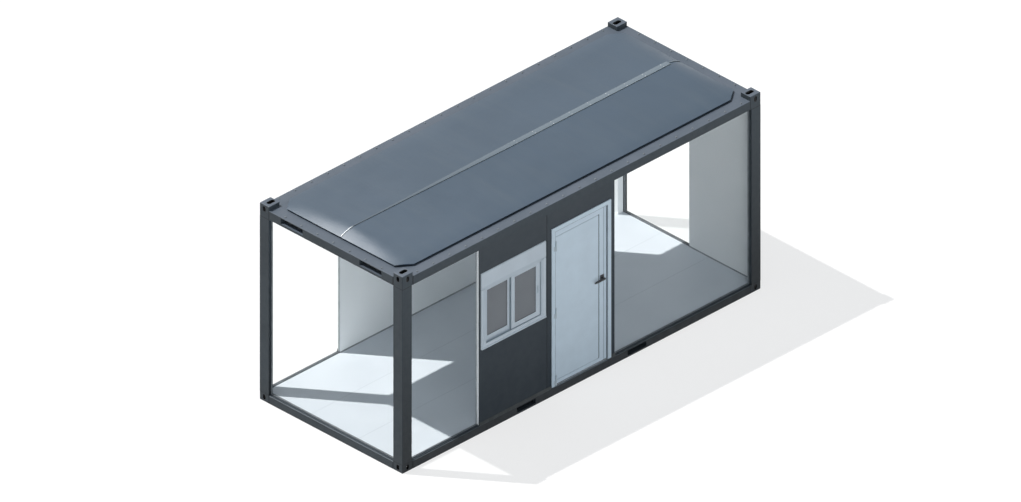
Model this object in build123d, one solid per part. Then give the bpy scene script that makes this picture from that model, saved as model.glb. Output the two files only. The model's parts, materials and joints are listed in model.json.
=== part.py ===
from build123d import *
import os

os.makedirs("parts", exist_ok=True)

# Shipping container cabin. Millimetres, +Z up, origin on the ground at the centre of the plan.
# Every length below is given from the front left bottom corner of the frame: X runs along the
# front towards the right, Y runs from the front to the rear. block() moves it to the origin.

# Steel frame
LENGTH = 6058.0
WIDTH = 2438.0
HEIGHT = 2770.0
CASTING_LENGTH = 178.0
CASTING_WIDTH = 162.0
CASTING_HEIGHT = 118.0
CASTING_EDGE = 12.0
CASTING_PLATE = 28.0
CASTING_WALL = 20.0
CASTING_INNER_WALL = 10.0
LOCK_SLOT_LENGTH = 124.0
LOCK_SLOT_WIDTH = 63.5
LOCK_SLOT_X = 102.5
LOCK_SLOT_Y = 89.5
SIDE_SLOT_HEIGHT = 79.0
SIDE_SLOT_WIDTH = 51.0
SIDE_SLOT_DROP = 62.0
POCKET_MARGIN = 14.0
POCKET_EDGE = 9.0
POCKET_DEPTH = 4.0
POST_WIDTH = 157.0
POST_DEPTH = 68.0
POST_ARRIS = 8.0

# Base rails, fork pockets and floor
RAIL_CLEAR = 6.0
RAIL_STEP = 8.0
RAIL_ARRIS = 5.0
FORK_SPREAD = 935.0
FORK_WIDTH = 320.0
FORK_BOTTOM = 25.0
FORK_HEIGHT = 75.0
FLOOR_BOTTOM = 40.0
DECK_THICKNESS = 14.0

# Roof rails and roof
CASTING_PROUD = 59.0
ROOF_RAIL_HEIGHT = 119.0
ROOF_RAIL_WIDTH = 156.0
SOCKET_INNER = 484.0
SOCKET_WIDTH = 374.0
SOCKET_DROP = 10.0
SOCKET_HEIGHT = 78.0
SOCKET_DEPTH = 70.0
SHEET_INSET = 163.0
SHEET_GAP = 22.0
SHEET_EDGE = 5.0
SHEET_THICKNESS = 4.0
KERB_SETBACK = 24.0
SHEET_CLIP_X = 190.0
SHEET_CLIP_Y = 138.0
RIDGE_RISE = 63.0
EAVE_MARGIN = 10.0
EAVE_BEND = 220.0
EAVE_RISE = 22.0
HIP_BEND = 240.0
SEAM_WIDTH = 12.0
RIDGE_CAP_WIDTH = 78.0
RIDGE_CAP_HEIGHT = 7.0
RIDGE_CAP_SETBACK = 190.0
RIDGE_CAP_TAPER = 2650.0

# Walls, bays and glazing
WALL_INSET = 12.0
WALL_THICKNESS = 50.0
WALL_ARRIS = 7.0
FRONT_BAYS = 5
END_PANEL_WIDTH = 994.0
GLASS_INSET = 42.0
GLASS_THICKNESS = 12.0
CHANNEL_LIP = 6.0
CHANNEL_HEIGHT = 8.0

# Window with roller shutter box
WINDOW_MARGIN = 28.0
WINDOW_HEAD_DROP = 354.0
WINDOW_HEIGHT = 1066.0
SHUTTER_HEIGHT = 232.0
SHUTTER_CHAMFER = 8.0
WINDOW_JAMB = 82.0
WINDOW_SILL = 60.0
WINDOW_HEAD = 10.0
MEETING_STILE = 45.0
LEFT_STILE = 40.0
RIGHT_STILE = 68.0
SASH_BOTTOM_RAIL = 65.0
SASH_TOP_RAIL = 40.0
SASH_DEPTH = 20.0
SASH_OUTER_TRACK = 14.0
TRACK_RIB = 4.0
SASH_SPLIT = 25.0
SASH_OVERLAP = 8.0
PANE_THICKNESS = 16.0
TRACK_GROOVE = 3.0

# Door
DOOR_MARGIN = 74.0
DOOR_HEAD_DROP = 240.0
DOOR_JAMB = 60.0
DOOR_FRAME_DEPTH = 72.0
JAMB_LIFT = 6.0
THRESHOLD_HEIGHT = 14.0
THRESHOLD_INSET = 4.0
LEAF_GAP = 5.0
LEAF_FACE = 18.0
LEAF_THICKNESS = 40.0
STOP_LIP = 15.0
LOCK_GROOVE_WIDTH = 16.0
LOCK_GROOVE_DEPTH = 8.0
GROOVE_WIDTH = 12.0
GROOVE_DEPTH = 4.0
LOCK_STILE = 118.0
PANEL_TOP_MARGIN = 74.0
PANEL_BOTTOM_MARGIN = 48.0
EDGE_GROOVE = 50.0
HINGE_END_DROP = 198.0
HINGE_END_RISE = 64.0
HINGE_HALF = 60.0
KNUCKLE_RADIUS = 8.0
PIN_RADIUS = 4.0
PIN_CLEARANCE = 0.05
PIN_PROUD = 9.0
HINGE_FLAP = 32.0
HINGE_PLATE = 4.0
KNUCKLE_GAP = 1.0

# Lever handle
HANDLE_FROM_EDGE = 76.0
HANDLE_HEIGHT = 1300.0
ROSETTE_WIDTH = 60.0
ROSETTE_HEIGHT = 84.0
ROSETTE_THICKNESS = 8.0
NECK_RADIUS = 10.0
SPINDLE_RADIUS = 5.0
SPINDLE_BORE = 9.0
NECK_LENGTH = 46.0
LEVER_LENGTH = 162.0
LEVER_HEIGHT = 20.0
LEVER_DEPTH = 14.0

MID_X = LENGTH / 2
MID_Y = WIDTH / 2
BAY = (LENGTH - 2 * POST_WIDTH) / FRONT_BAYS
WALL_INNER = WALL_INSET + WALL_THICKNESS
FLOOR_TOP = CASTING_HEIGHT
DECK_UNDERSIDE = FLOOR_TOP - DECK_THICKNESS
ROOF_RAIL_TOP = HEIGHT - CASTING_PROUD
ROOF_RAIL_BOTTOM = ROOF_RAIL_TOP - ROOF_RAIL_HEIGHT
SHEET_UNDERSIDE = ROOF_RAIL_TOP + SHEET_GAP
SHEET_EDGE_TOP = SHEET_UNDERSIDE + SHEET_EDGE
RIDGE_TOP = SHEET_EDGE_TOP + RIDGE_RISE


def bay_edge(count):
    return POST_WIDTH + count * BAY


def block(x0, x1, y0, y1, z0, z1):
    corner = Pos(x0 - MID_X, y0 - MID_Y, z0)
    return corner * Box(x1 - x0, y1 - y0, z1 - z0, align=(Align.MIN, Align.MIN, Align.MIN))


def upright(x, y, z0, z1, radius):
    start = Pos(x - MID_X, y - MID_Y, z0)
    return start * Cylinder(radius, z1 - z0, align=(Align.CENTER, Align.CENTER, Align.MIN))


def shaft_y(x, y0, y1, z, radius):
    start = Pos(x - MID_X, y0 - MID_Y, z) * Rot(-90, 0, 0)
    return start * Cylinder(radius, y1 - y0, align=(Align.CENTER, Align.CENTER, Align.MIN))


def prism_z(points, z0, z1):
    corners = [(x - MID_X, y - MID_Y) for x, y in points]
    return Pos(0, 0, z0) * extrude(make_face(Polyline(*corners, close=True)), z1 - z0)


def prism_x(points, x0, x1):
    plane = Plane(origin=(x0 - MID_X, 0, 0), x_dir=(0, 1, 0), z_dir=(1, 0, 0))
    corners = [(y - MID_Y, z) for y, z in points]
    return extrude(plane * make_face(Polyline(*corners, close=True)), x1 - x0)


def prism_y(points, y0, y1):
    plane = Plane(origin=(0, y0 - MID_Y, 0), x_dir=(1, 0, 0), z_dir=(0, -1, 0))
    corners = [(x - MID_X, z) for x, z in points]
    return extrude(plane * make_face(Polyline(*corners, close=True)), y0 - y1)


def to_right(shape):
    return mirror(shape, about=Plane.YZ)


def to_rear(shape):
    return mirror(shape, about=Plane.XZ)


def four_corners(shape):
    left = [shape, to_rear(shape)]
    return left + [to_right(piece) for piece in left]


def edge_near(shape, axis, x, y):
    target_x = x - MID_X
    target_y = y - MID_Y

    def distance(edge):
        centre = edge.center()
        return abs(centre.X - target_x) + abs(centre.Y - target_y)

    return shape.edges().filter_by(axis).sort_by(distance)[0]


def long_edge(shape, axis, x, y, z):
    def distance(edge):
        centre = edge.center()
        across = abs(centre.Y - (y - MID_Y)) if axis == Axis.X else abs(centre.X - (x - MID_X))
        return across + abs(centre.Z - z)

    return shape.edges().filter_by(axis).sort_by(distance)[0]


def save(name, shape):
    shape.label = name
    export_step(shape, os.path.join("parts", name + ".step"))


def slot_z(length, width, x, y, z0, z1):
    profile = extrude(SlotOverall(length, width), z1 - z0)
    return Pos(x - MID_X, y - MID_Y, z0) * profile


def slot_through_side(x, z, y0, y1):
    plane = Plane(origin=(x - MID_X, y0 - MID_Y, z), x_dir=(0, 0, 1), z_dir=(0, 1, 0))
    return extrude(plane * SlotOverall(SIDE_SLOT_HEIGHT, SIDE_SLOT_WIDTH), y1 - y0)


def slot_through_end(y, z, x0, x1):
    plane = Plane(origin=(x0 - MID_X, y - MID_Y, z), x_dir=(0, 0, 1), z_dir=(1, 0, 0))
    return extrude(plane * SlotOverall(SIDE_SLOT_HEIGHT, SIDE_SLOT_WIDTH), x1 - x0)


# Corner castings: hollow blocks with an oval slot in each outward face
def outer_edges(shape, level):
    def distance_to(x, y, z):
        def distance(edge):
            centre = edge.center()
            return abs(centre.X - x) + abs(centre.Y - y) + abs(centre.Z - z)

        return distance

    front = distance_to(CASTING_LENGTH / 2 - MID_X, -MID_Y, level)
    side = distance_to(-MID_X, CASTING_WIDTH / 2 - MID_Y, level)
    uprights = [edge_near(shape, Axis.Z, x, y) for x, y in ((0, 0), (CASTING_LENGTH, 0), (0, CASTING_WIDTH))]
    return uprights + [shape.edges().sort_by(front)[0], shape.edges().sort_by(side)[0]]


def corner_casting(bottom, top, outer_level):
    body = block(0, CASTING_LENGTH, 0, CASTING_WIDTH, bottom, top)
    body = fillet(outer_edges(body, outer_level), CASTING_EDGE)
    inward = 1 if outer_level == bottom else -1
    plate_inside = outer_level + inward * CASTING_PLATE
    hollow_end = outer_level + inward * (CASTING_HEIGHT - CASTING_WALL)
    slot_height = outer_level + inward * SIDE_SLOT_DROP
    hollow = block(
        CASTING_WALL, CASTING_LENGTH - CASTING_INNER_WALL,
        CASTING_WALL, CASTING_WIDTH - CASTING_INNER_WALL,
        min(plate_inside, hollow_end), max(plate_inside, hollow_end),
    )
    lock_slot = slot_z(
        LOCK_SLOT_LENGTH, LOCK_SLOT_WIDTH, LOCK_SLOT_X, LOCK_SLOT_Y,
        min(outer_level, plate_inside), max(outer_level, plate_inside),
    )
    side_slot = slot_through_side(CASTING_LENGTH / 2, slot_height, 0, CASTING_WALL)
    end_slot = slot_through_end(CASTING_WIDTH / 2, slot_height, 0, CASTING_WALL)
    return body - hollow - lock_slot - side_slot - end_slot


corner_names = ("front_left", "rear_left", "front_right", "rear_right")
base_casting = corner_casting(0, CASTING_HEIGHT, 0)
roof_casting = corner_casting(ROOF_RAIL_BOTTOM, HEIGHT, HEIGHT)
inner_pocket = block(
    POCKET_MARGIN, CASTING_LENGTH - POCKET_MARGIN, CASTING_WIDTH - POCKET_DEPTH, CASTING_WIDTH,
    ROOF_RAIL_TOP + POCKET_EDGE, HEIGHT - POCKET_EDGE,
)
roof_casting = roof_casting - inner_pocket
for corner, piece in zip(corner_names, four_corners(base_casting)):
    save("base_casting_" + corner, piece)
for corner, piece in zip(corner_names, four_corners(roof_casting)):
    save("roof_casting_" + corner, piece)

# Corner posts: heavy angles, open to the inside; the rear right one has a light cover
post_front = block(0, POST_WIDTH, 0, POST_DEPTH, FLOOR_TOP, ROOF_RAIL_BOTTOM)
post_side = block(0, POST_DEPTH, 0, POST_WIDTH, FLOOR_TOP, ROOF_RAIL_BOTTOM)
post = post_front + post_side
post = fillet(edge_near(post, Axis.Z, 0, 0), POST_ARRIS)
save("corner_posts", Compound(children=four_corners(post)))
cover = block(POST_DEPTH, POST_WIDTH, POST_DEPTH, POST_WIDTH, FLOOR_TOP, ROOF_RAIL_BOTTOM)
save("corner_cover", to_right(to_rear(cover)))


# Base rails: a stepped bar, so rain runs off below the walls, with fork pockets at front and rear
def fork_tunnel(centre_x, y0, y1):
    fork_left = centre_x - FORK_WIDTH / 2
    return block(fork_left, fork_left + FORK_WIDTH, y0, y1, FORK_BOTTOM, FORK_BOTTOM + FORK_HEIGHT)


step_top = FLOOR_TOP - RAIL_STEP
base_profile = [
    (0, RAIL_CLEAR), (WALL_INNER, RAIL_CLEAR), (WALL_INNER, FLOOR_TOP),
    (WALL_INSET, FLOOR_TOP), (WALL_INSET, step_top), (0, step_top),
]
fork_centres = (MID_X - FORK_SPREAD, MID_X + FORK_SPREAD)
base_front = prism_x(base_profile, CASTING_LENGTH, LENGTH - CASTING_LENGTH)
base_front = fillet(long_edge(base_front, Axis.X, 0, 0, step_top), RAIL_ARRIS)
for centre in fork_centres:
    base_front = base_front - fork_tunnel(centre, 0, WALL_INNER)
base_left = prism_y(base_profile, CASTING_WIDTH, WIDTH - CASTING_WIDTH)
base_left = fillet(long_edge(base_left, Axis.Y, 0, 0, step_top), RAIL_ARRIS)
save("base_rail_front", base_front)
save("base_rail_rear", to_rear(base_front))
save("base_rail_left", base_left)
save("base_rail_right", to_right(base_left))


# Floor between the rails, with a tunnel behind each pair of fork pockets
def inside_frame(side, low, high):
    slab = block(side, LENGTH - side, side, WIDTH - side, low, high)
    for keepout in four_corners(block(0, CASTING_LENGTH, 0, CASTING_WIDTH, low, high)):
        slab = slab - keepout
    return slab


floor_cassette = inside_frame(WALL_INNER, FLOOR_BOTTOM, DECK_UNDERSIDE)
for centre in fork_centres:
    floor_cassette = floor_cassette - fork_tunnel(centre, 0, WIDTH)
save("floor_cassette", floor_cassette)
save("floor_deck", inside_frame(WALL_INNER, DECK_UNDERSIDE, FLOOR_TOP))

# Roof rails; the left one has two cable sockets in its outer face
roof_front = block(
    CASTING_LENGTH, LENGTH - CASTING_LENGTH, 0, ROOF_RAIL_WIDTH, ROOF_RAIL_BOTTOM, ROOF_RAIL_TOP,
)
roof_front = fillet(long_edge(roof_front, Axis.X, 0, 0, ROOF_RAIL_TOP), RAIL_ARRIS)
roof_side = block(
    0, ROOF_RAIL_WIDTH, CASTING_WIDTH, WIDTH - CASTING_WIDTH, ROOF_RAIL_BOTTOM, ROOF_RAIL_TOP,
)
roof_side = fillet(long_edge(roof_side, Axis.Y, 0, 0, ROOF_RAIL_TOP), RAIL_ARRIS)
socket_top = ROOF_RAIL_TOP - SOCKET_DROP
roof_left = roof_side
for socket_start in (MID_Y - SOCKET_INNER - SOCKET_WIDTH, MID_Y + SOCKET_INNER):
    roof_left = roof_left - block(
        0, SOCKET_DEPTH, socket_start, socket_start + SOCKET_WIDTH,
        socket_top - SOCKET_HEIGHT, socket_top,
    )
save("roof_rail_front", roof_front)
save("roof_rail_rear", to_rear(roof_front))
save("roof_rail_left", roof_left)
save("roof_rail_right", to_right(roof_side))


# Roof sheet: a low ridge whose four edges roll down softly to one level, over an insulated cassette
eave_front = SHEET_INSET - EAVE_MARGIN
slope_run = MID_Y - eave_front - EAVE_BEND
slope = (RIDGE_RISE - EAVE_RISE) / slope_run
eave_curve = (EAVE_RISE - slope * EAVE_BEND) / EAVE_BEND**2


def rise_from_eave(distance):
    left_over = EAVE_BEND - distance
    return EAVE_RISE - slope * left_over - eave_curve * left_over**2


def roof_section(x, share, bottom):
    def corner(y, rise):
        return (x - MID_X, y - MID_Y, SHEET_EDGE_TOP + share * rise)

    steps = [EAVE_BEND * step / 3 for step in range(4)]
    front = [corner(eave_front + step, rise_from_eave(step)) for step in steps]
    rear = [corner(WIDTH - eave_front - step, rise_from_eave(step)) for step in steps]
    ridge = corner(MID_Y, RIDGE_RISE)
    low_front = (x - MID_X, eave_front - MID_Y, bottom)
    low_rear = (x - MID_X, MID_Y - eave_front, bottom)
    outline = [
        Line(low_front, front[0]),
        Spline(*front),
        Line(front[-1], ridge),
        Line(ridge, rear[-1]),
        Spline(*rear[::-1]),
        Line(rear[0], low_rear),
        Line(low_rear, low_front),
    ]
    return make_face(outline)


def crowned_form(bottom):
    stations = [step / 4 for step in range(5)]
    sections = [
        roof_section(SHEET_INSET + HIP_BEND * station, 1 - (1 - station) ** 2, bottom)
        for station in stations
    ]
    left_end = loft(sections)
    middle = extrude(sections[-1], LENGTH - 2 * (SHEET_INSET + HIP_BEND), dir=(1, 0, 0))
    return left_end + middle + to_right(left_end)


def clipped_plan(inset, bottom, top):
    far_x = LENGTH - inset
    far_y = WIDTH - inset
    return prism_z(
        [
            (inset + SHEET_CLIP_X, inset), (far_x - SHEET_CLIP_X, inset), (far_x, inset + SHEET_CLIP_Y),
            (far_x, far_y - SHEET_CLIP_Y), (far_x - SHEET_CLIP_X, far_y), (inset + SHEET_CLIP_X, far_y),
            (inset, far_y - SHEET_CLIP_Y), (inset, inset + SHEET_CLIP_Y),
        ],
        bottom, top,
    )


roof_lid = crowned_form(SHEET_UNDERSIDE) & clipped_plan(SHEET_INSET, SHEET_UNDERSIDE, RIDGE_TOP)
fill_form = Pos(0, 0, -SHEET_THICKNESS) * crowned_form(ROOF_RAIL_TOP + SHEET_THICKNESS)
roof_fill = fill_form & clipped_plan(SHEET_INSET + KERB_SETBACK, ROOF_RAIL_TOP, RIDGE_TOP)
save("roof_cassette", inside_frame(ROOF_RAIL_WIDTH, ROOF_RAIL_BOTTOM, ROOF_RAIL_TOP) + roof_fill)
save("roof_sheet", roof_lid - roof_fill)

# Ridge cap that widens towards the right, with a narrow seam over each rolled end
cap_start = SHEET_INSET + RIDGE_CAP_SETBACK
cap_full = cap_start + RIDGE_CAP_TAPER
cap_end = LENGTH - cap_start
seam_half = SEAM_WIDTH / 2
cap_half = RIDGE_CAP_WIDTH / 2
cap_plan = prism_z(
    [
        (SHEET_INSET, MID_Y - seam_half), (cap_start, MID_Y - seam_half), (cap_full, MID_Y - cap_half),
        (cap_end, MID_Y - cap_half), (cap_end, MID_Y - seam_half), (LENGTH - SHEET_INSET, MID_Y - seam_half),
        (LENGTH - SHEET_INSET, MID_Y + seam_half), (cap_end, MID_Y + seam_half), (cap_end, MID_Y + cap_half),
        (cap_full, MID_Y + cap_half), (cap_start, MID_Y + seam_half), (SHEET_INSET, MID_Y + seam_half),
    ],
    SHEET_UNDERSIDE, RIDGE_TOP + RIDGE_CAP_HEIGHT,
)
save("ridge_cap", ((Pos(0, 0, RIDGE_CAP_HEIGHT) * roof_lid) & cap_plan) - roof_lid)


# Wall panels: plan rectangles in the wall's thickness, with bevelled outer corners at each joint
def wall_y(x0, x1, z0, z1, joints):
    panel = block(x0, x1, WALL_INSET, WALL_INNER, z0, z1)
    corners = [edge_near(panel, Axis.Z, joint, WALL_INSET) for joint in joints]
    return chamfer(corners, WALL_ARRIS)


def whole_panel(x0, x1):
    return wall_y(x0, x1, FLOOR_TOP, ROOF_RAIL_BOTTOM, (x0, x1))


# Front wall: one panel cut for the window, and a wall split round the doorway
window_left = bay_edge(1) + WINDOW_MARGIN
window_right = bay_edge(2) - WINDOW_MARGIN
window_top = ROOF_RAIL_BOTTOM - WINDOW_HEAD_DROP
window_bottom = window_top - WINDOW_HEIGHT
door_left = bay_edge(2) + DOOR_MARGIN
door_right = bay_edge(3) - DOOR_MARGIN
door_top = ROOF_RAIL_BOTTOM - DOOR_HEAD_DROP
window_hole = block(window_left, window_right, 0, WALL_INNER, window_bottom, window_top)
left_of_door = wall_y(bay_edge(2), door_left, FLOOR_TOP, ROOF_RAIL_BOTTOM, (bay_edge(2),))
right_of_door = wall_y(door_right, bay_edge(3), FLOOR_TOP, ROOF_RAIL_BOTTOM, (bay_edge(3),))
save("front_wall_window", whole_panel(bay_edge(1), bay_edge(2)) - window_hole)
save("front_wall_door_left", left_of_door)
save("front_wall_door_right", right_of_door)
save("front_wall_door_head", block(door_left, door_right, WALL_INSET, WALL_INNER, door_top, ROOF_RAIL_BOTTOM))

# Rear wall of three panels, and the front half of the right end
rear_names = ("rear_wall_left", "rear_wall_middle", "rear_wall_right")
for index, name in enumerate(rear_names):
    save(name, to_rear(whole_panel(bay_edge(index + 1), bay_edge(index + 2))))
end_panel_edge = POST_WIDTH + END_PANEL_WIDTH
end_wall = block(WALL_INSET, WALL_INNER, POST_WIDTH, end_panel_edge, FLOOR_TOP, ROOF_RAIL_BOTTOM)
end_corners = [
    edge_near(end_wall, Axis.Z, WALL_INSET, POST_WIDTH),
    edge_near(end_wall, Axis.Z, WALL_INSET, end_panel_edge),
]
save("right_wall", to_right(chamfer(end_corners, WALL_ARRIS)))

# Glass sheets, each in a slim channel all round
glass_inner = GLASS_INSET + GLASS_THICKNESS
channel_outer = GLASS_INSET - CHANNEL_LIP
channel_inner = glass_inner + CHANNEL_LIP
glass_low = FLOOR_TOP + CHANNEL_HEIGHT
glass_high = ROOF_RAIL_BOTTOM - CHANNEL_HEIGHT


def long_side_sheet(x0, x1):
    left = x0 + CHANNEL_HEIGHT
    right = x1 - CHANNEL_HEIGHT
    glass = block(left, right, GLASS_INSET, glass_inner, glass_low, glass_high)
    channel = block(x0, x1, channel_outer, channel_inner, FLOOR_TOP, ROOF_RAIL_BOTTOM)
    return glass, channel - block(left, right, channel_outer, channel_inner, glass_low, glass_high)


def end_sheet(y0, y1):
    front = y0 + CHANNEL_HEIGHT
    rear = y1 - CHANNEL_HEIGHT
    glass = block(GLASS_INSET, glass_inner, front, rear, glass_low, glass_high)
    channel = block(channel_outer, channel_inner, y0, y1, FLOOR_TOP, ROOF_RAIL_BOTTOM)
    return glass, channel - block(channel_outer, channel_inner, front, rear, glass_low, glass_high)


corner_glass, corner_channel = long_side_sheet(POST_WIDTH, bay_edge(1))
wide_glass, wide_channel = long_side_sheet(bay_edge(3), LENGTH - POST_WIDTH)
last_glass, last_channel = long_side_sheet(bay_edge(4), LENGTH - POST_WIDTH)
left_glass, left_channel = end_sheet(POST_WIDTH, WIDTH - POST_WIDTH)
right_glass, right_channel = end_sheet(end_panel_edge, WIDTH - POST_WIDTH)
save("glass_front_left", corner_glass)
save("glass_front_right", wide_glass)
save("glass_rear_left", to_rear(corner_glass))
save("glass_rear_right", to_rear(last_glass))
save("glass_left_end", left_glass)
save("glass_right_end", to_right(right_glass))
channels = [
    corner_channel,
    wide_channel,
    to_rear(corner_channel),
    to_rear(last_channel),
    left_channel,
    to_right(right_channel),
]
save("glazing_channels", Compound(children=channels))

# Window: frame with two tracks, two sliding sashes and the shutter box above
shutter_bottom = window_top - SHUTTER_HEIGHT
sash_left_edge = window_left + WINDOW_JAMB
sash_right_edge = window_right - WINDOW_JAMB
sash_bottom = window_bottom + WINDOW_SILL
sash_top = shutter_bottom - WINDOW_HEAD
sash_low = sash_bottom - TRACK_GROOVE
inner_track = SASH_OUTER_TRACK + SASH_DEPTH + TRACK_RIB
window_frame = block(window_left, window_right, 0, WALL_INNER, window_bottom, shutter_bottom)
window_frame = window_frame - block(sash_left_edge, sash_right_edge, 0, WALL_INNER, sash_bottom, sash_top)
for track in (SASH_OUTER_TRACK, inner_track):
    window_frame = window_frame - block(
        sash_left_edge, sash_right_edge, track, track + SASH_DEPTH, sash_low, sash_bottom,
    )
save("window_frame", window_frame)
shutter_profile = [
    (0, shutter_bottom + SHUTTER_CHAMFER), (SHUTTER_CHAMFER, shutter_bottom), (WALL_INNER, shutter_bottom),
    (WALL_INNER, window_top), (SHUTTER_CHAMFER, window_top), (0, window_top - SHUTTER_CHAMFER),
]
save("window_shutter_box", prism_x(shutter_profile, window_left, window_right))


def sash(x0, glass_left, glass_right, x1, track):
    glass_bottom = sash_low + SASH_BOTTOM_RAIL
    glass_top = sash_top - SASH_TOP_RAIL
    back = track + SASH_DEPTH
    ring = block(x0, x1, track, back, sash_low, sash_top)
    hole = block(glass_left, glass_right, track, back, glass_bottom, glass_top)
    pane_front = track + (SASH_DEPTH - PANE_THICKNESS) / 2
    pane = block(glass_left, glass_right, pane_front, pane_front + PANE_THICKNESS, glass_bottom, glass_top)
    return ring - hole, pane


right_sash_start = (sash_left_edge + sash_right_edge) / 2 - SASH_SPLIT
left_sash_end = right_sash_start + SASH_OVERLAP
left_sash, left_pane = sash(
    sash_left_edge, sash_left_edge + LEFT_STILE, left_sash_end - MEETING_STILE, left_sash_end, inner_track,
)
right_sash, right_pane = sash(
    right_sash_start, right_sash_start + MEETING_STILE, sash_right_edge - RIGHT_STILE, sash_right_edge,
    SASH_OUTER_TRACK,
)
save("window_sash_left", left_sash)
save("window_sash_right", right_sash)
save("window_panes", Compound(children=[left_pane, right_pane]))

# Door frame with its stop behind the leaf, and the threshold
opening_left = door_left + DOOR_JAMB
opening_right = door_right - DOOR_JAMB
opening_top = door_top - DOOR_JAMB
threshold_top = FLOOR_TOP + THRESHOLD_HEIGHT
jamb_bottom = FLOOR_TOP + JAMB_LIFT
leaf_back = LEAF_FACE + LEAF_THICKNESS
stop_face = leaf_back + LEAF_GAP
door_frame = block(door_left, door_right, 0, DOOR_FRAME_DEPTH, FLOOR_TOP, door_top)
door_frame = door_frame - block(door_left, door_right, 0, WALL_INSET, FLOOR_TOP, jamb_bottom)
door_frame = door_frame - block(opening_left, opening_right, 0, stop_face, FLOOR_TOP, opening_top)
door_frame = door_frame - block(
    opening_left + STOP_LIP, opening_right - STOP_LIP, stop_face, DOOR_FRAME_DEPTH,
    FLOOR_TOP, opening_top - STOP_LIP,
)
save("door_frame", door_frame)
threshold_profile = [
    (THRESHOLD_INSET, step_top), (WALL_INSET, step_top), (WALL_INSET, FLOOR_TOP), (stop_face, FLOOR_TOP),
    (stop_face, threshold_top), (THRESHOLD_INSET, threshold_top),
]
save("door_threshold", prism_x(threshold_profile, opening_left, opening_right))

# Door leaf: pressed panel outline, lock stile grooves and the spindle bore
leaf_left = opening_left + LEAF_GAP
leaf_right = opening_right - LEAF_GAP
leaf_bottom = threshold_top + LEAF_GAP
leaf_top = opening_top - LEAF_GAP
handle_x = leaf_right - HANDLE_FROM_EDGE


def groove(x0, x1, z0, z1, depth):
    return block(x0, x1, LEAF_FACE, LEAF_FACE + depth, z0, z1)


panel_right = leaf_right - LOCK_STILE
panel_inner = panel_right - LOCK_GROOVE_WIDTH
panel_bottom = leaf_bottom + PANEL_BOTTOM_MARGIN
panel_top = leaf_top - PANEL_TOP_MARGIN
door_leaf = block(leaf_left, leaf_right, LEAF_FACE, leaf_back, leaf_bottom, leaf_top)
edge_groove = leaf_right - EDGE_GROOVE
door_leaf = door_leaf - groove(panel_inner, panel_right, panel_bottom, panel_top, LOCK_GROOVE_DEPTH)
door_leaf = door_leaf - groove(edge_groove, edge_groove + GROOVE_WIDTH, leaf_bottom, leaf_top, GROOVE_DEPTH)
for groove_bottom in (panel_bottom, panel_top - GROOVE_WIDTH):
    groove_top = groove_bottom + GROOVE_WIDTH
    door_leaf = door_leaf - groove(leaf_left, panel_inner, groove_bottom, groove_top, GROOVE_DEPTH)
door_leaf = door_leaf - shaft_y(handle_x, LEAF_FACE, leaf_back, HANDLE_HEIGHT, SPINDLE_BORE)
save("door_leaf", door_leaf)

# Lift-off hinges: the frame half carries the pin, the leaf half drops over it
pin_x = opening_left + LEAF_GAP / 2
pin_y = -PIN_PROUD
top_hinge = leaf_top - HINGE_END_DROP
bottom_hinge = leaf_bottom + HINGE_END_RISE
frame_halves = []
leaf_halves = []
for height in (bottom_hinge, (bottom_hinge + top_hinge) / 2, top_hinge):
    low = height - HINGE_HALF
    high = height + HINGE_HALF
    frame_half = upright(pin_x, pin_y, low, height, KNUCKLE_RADIUS)
    frame_half = frame_half + block(pin_x - HINGE_FLAP, opening_left, -HINGE_PLATE, 0, low, height)
    frame_half = frame_half + block(pin_x - KNUCKLE_RADIUS, opening_left, pin_y, 0, low, height)
    frame_half = frame_half + upright(pin_x, pin_y, height, high, PIN_RADIUS)
    frame_halves.append(frame_half)
    leaf_low = height + KNUCKLE_GAP
    leaf_half = upright(pin_x, pin_y, leaf_low, high, KNUCKLE_RADIUS)
    flap_face = LEAF_FACE - HINGE_PLATE
    leaf_half = leaf_half + block(leaf_left, pin_x + HINGE_FLAP, flap_face, LEAF_FACE, leaf_low, high)
    leaf_half = leaf_half + block(leaf_left, pin_x + KNUCKLE_RADIUS, pin_y, LEAF_FACE, leaf_low, high)
    leaf_half = leaf_half - upright(pin_x, pin_y, leaf_low, high, PIN_RADIUS + PIN_CLEARANCE)
    leaf_halves.append(leaf_half)
save("hinge_frame_halves", Compound(children=frame_halves))
save("hinge_leaf_halves", Compound(children=leaf_halves))


# Lever handle: a rosette on each face, and two levers on one spindle
def rosette(y0, y1):
    left = handle_x - ROSETTE_WIDTH / 2
    low = HANDLE_HEIGHT - ROSETTE_HEIGHT / 2
    plate = block(left, left + ROSETTE_WIDTH, y0, y1, low, low + ROSETTE_HEIGHT)
    return plate - shaft_y(handle_x, y0, y1, HANDLE_HEIGHT, NECK_RADIUS + PIN_CLEARANCE)


def lever_bar(y0, y1):
    low = HANDLE_HEIGHT - LEVER_HEIGHT / 2
    bar = block(handle_x - LEVER_LENGTH, handle_x, y0, y1, low, low + LEVER_HEIGHT)
    return fillet(bar.edges().filter_by(Axis.X), LEVER_DEPTH / 4)


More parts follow.
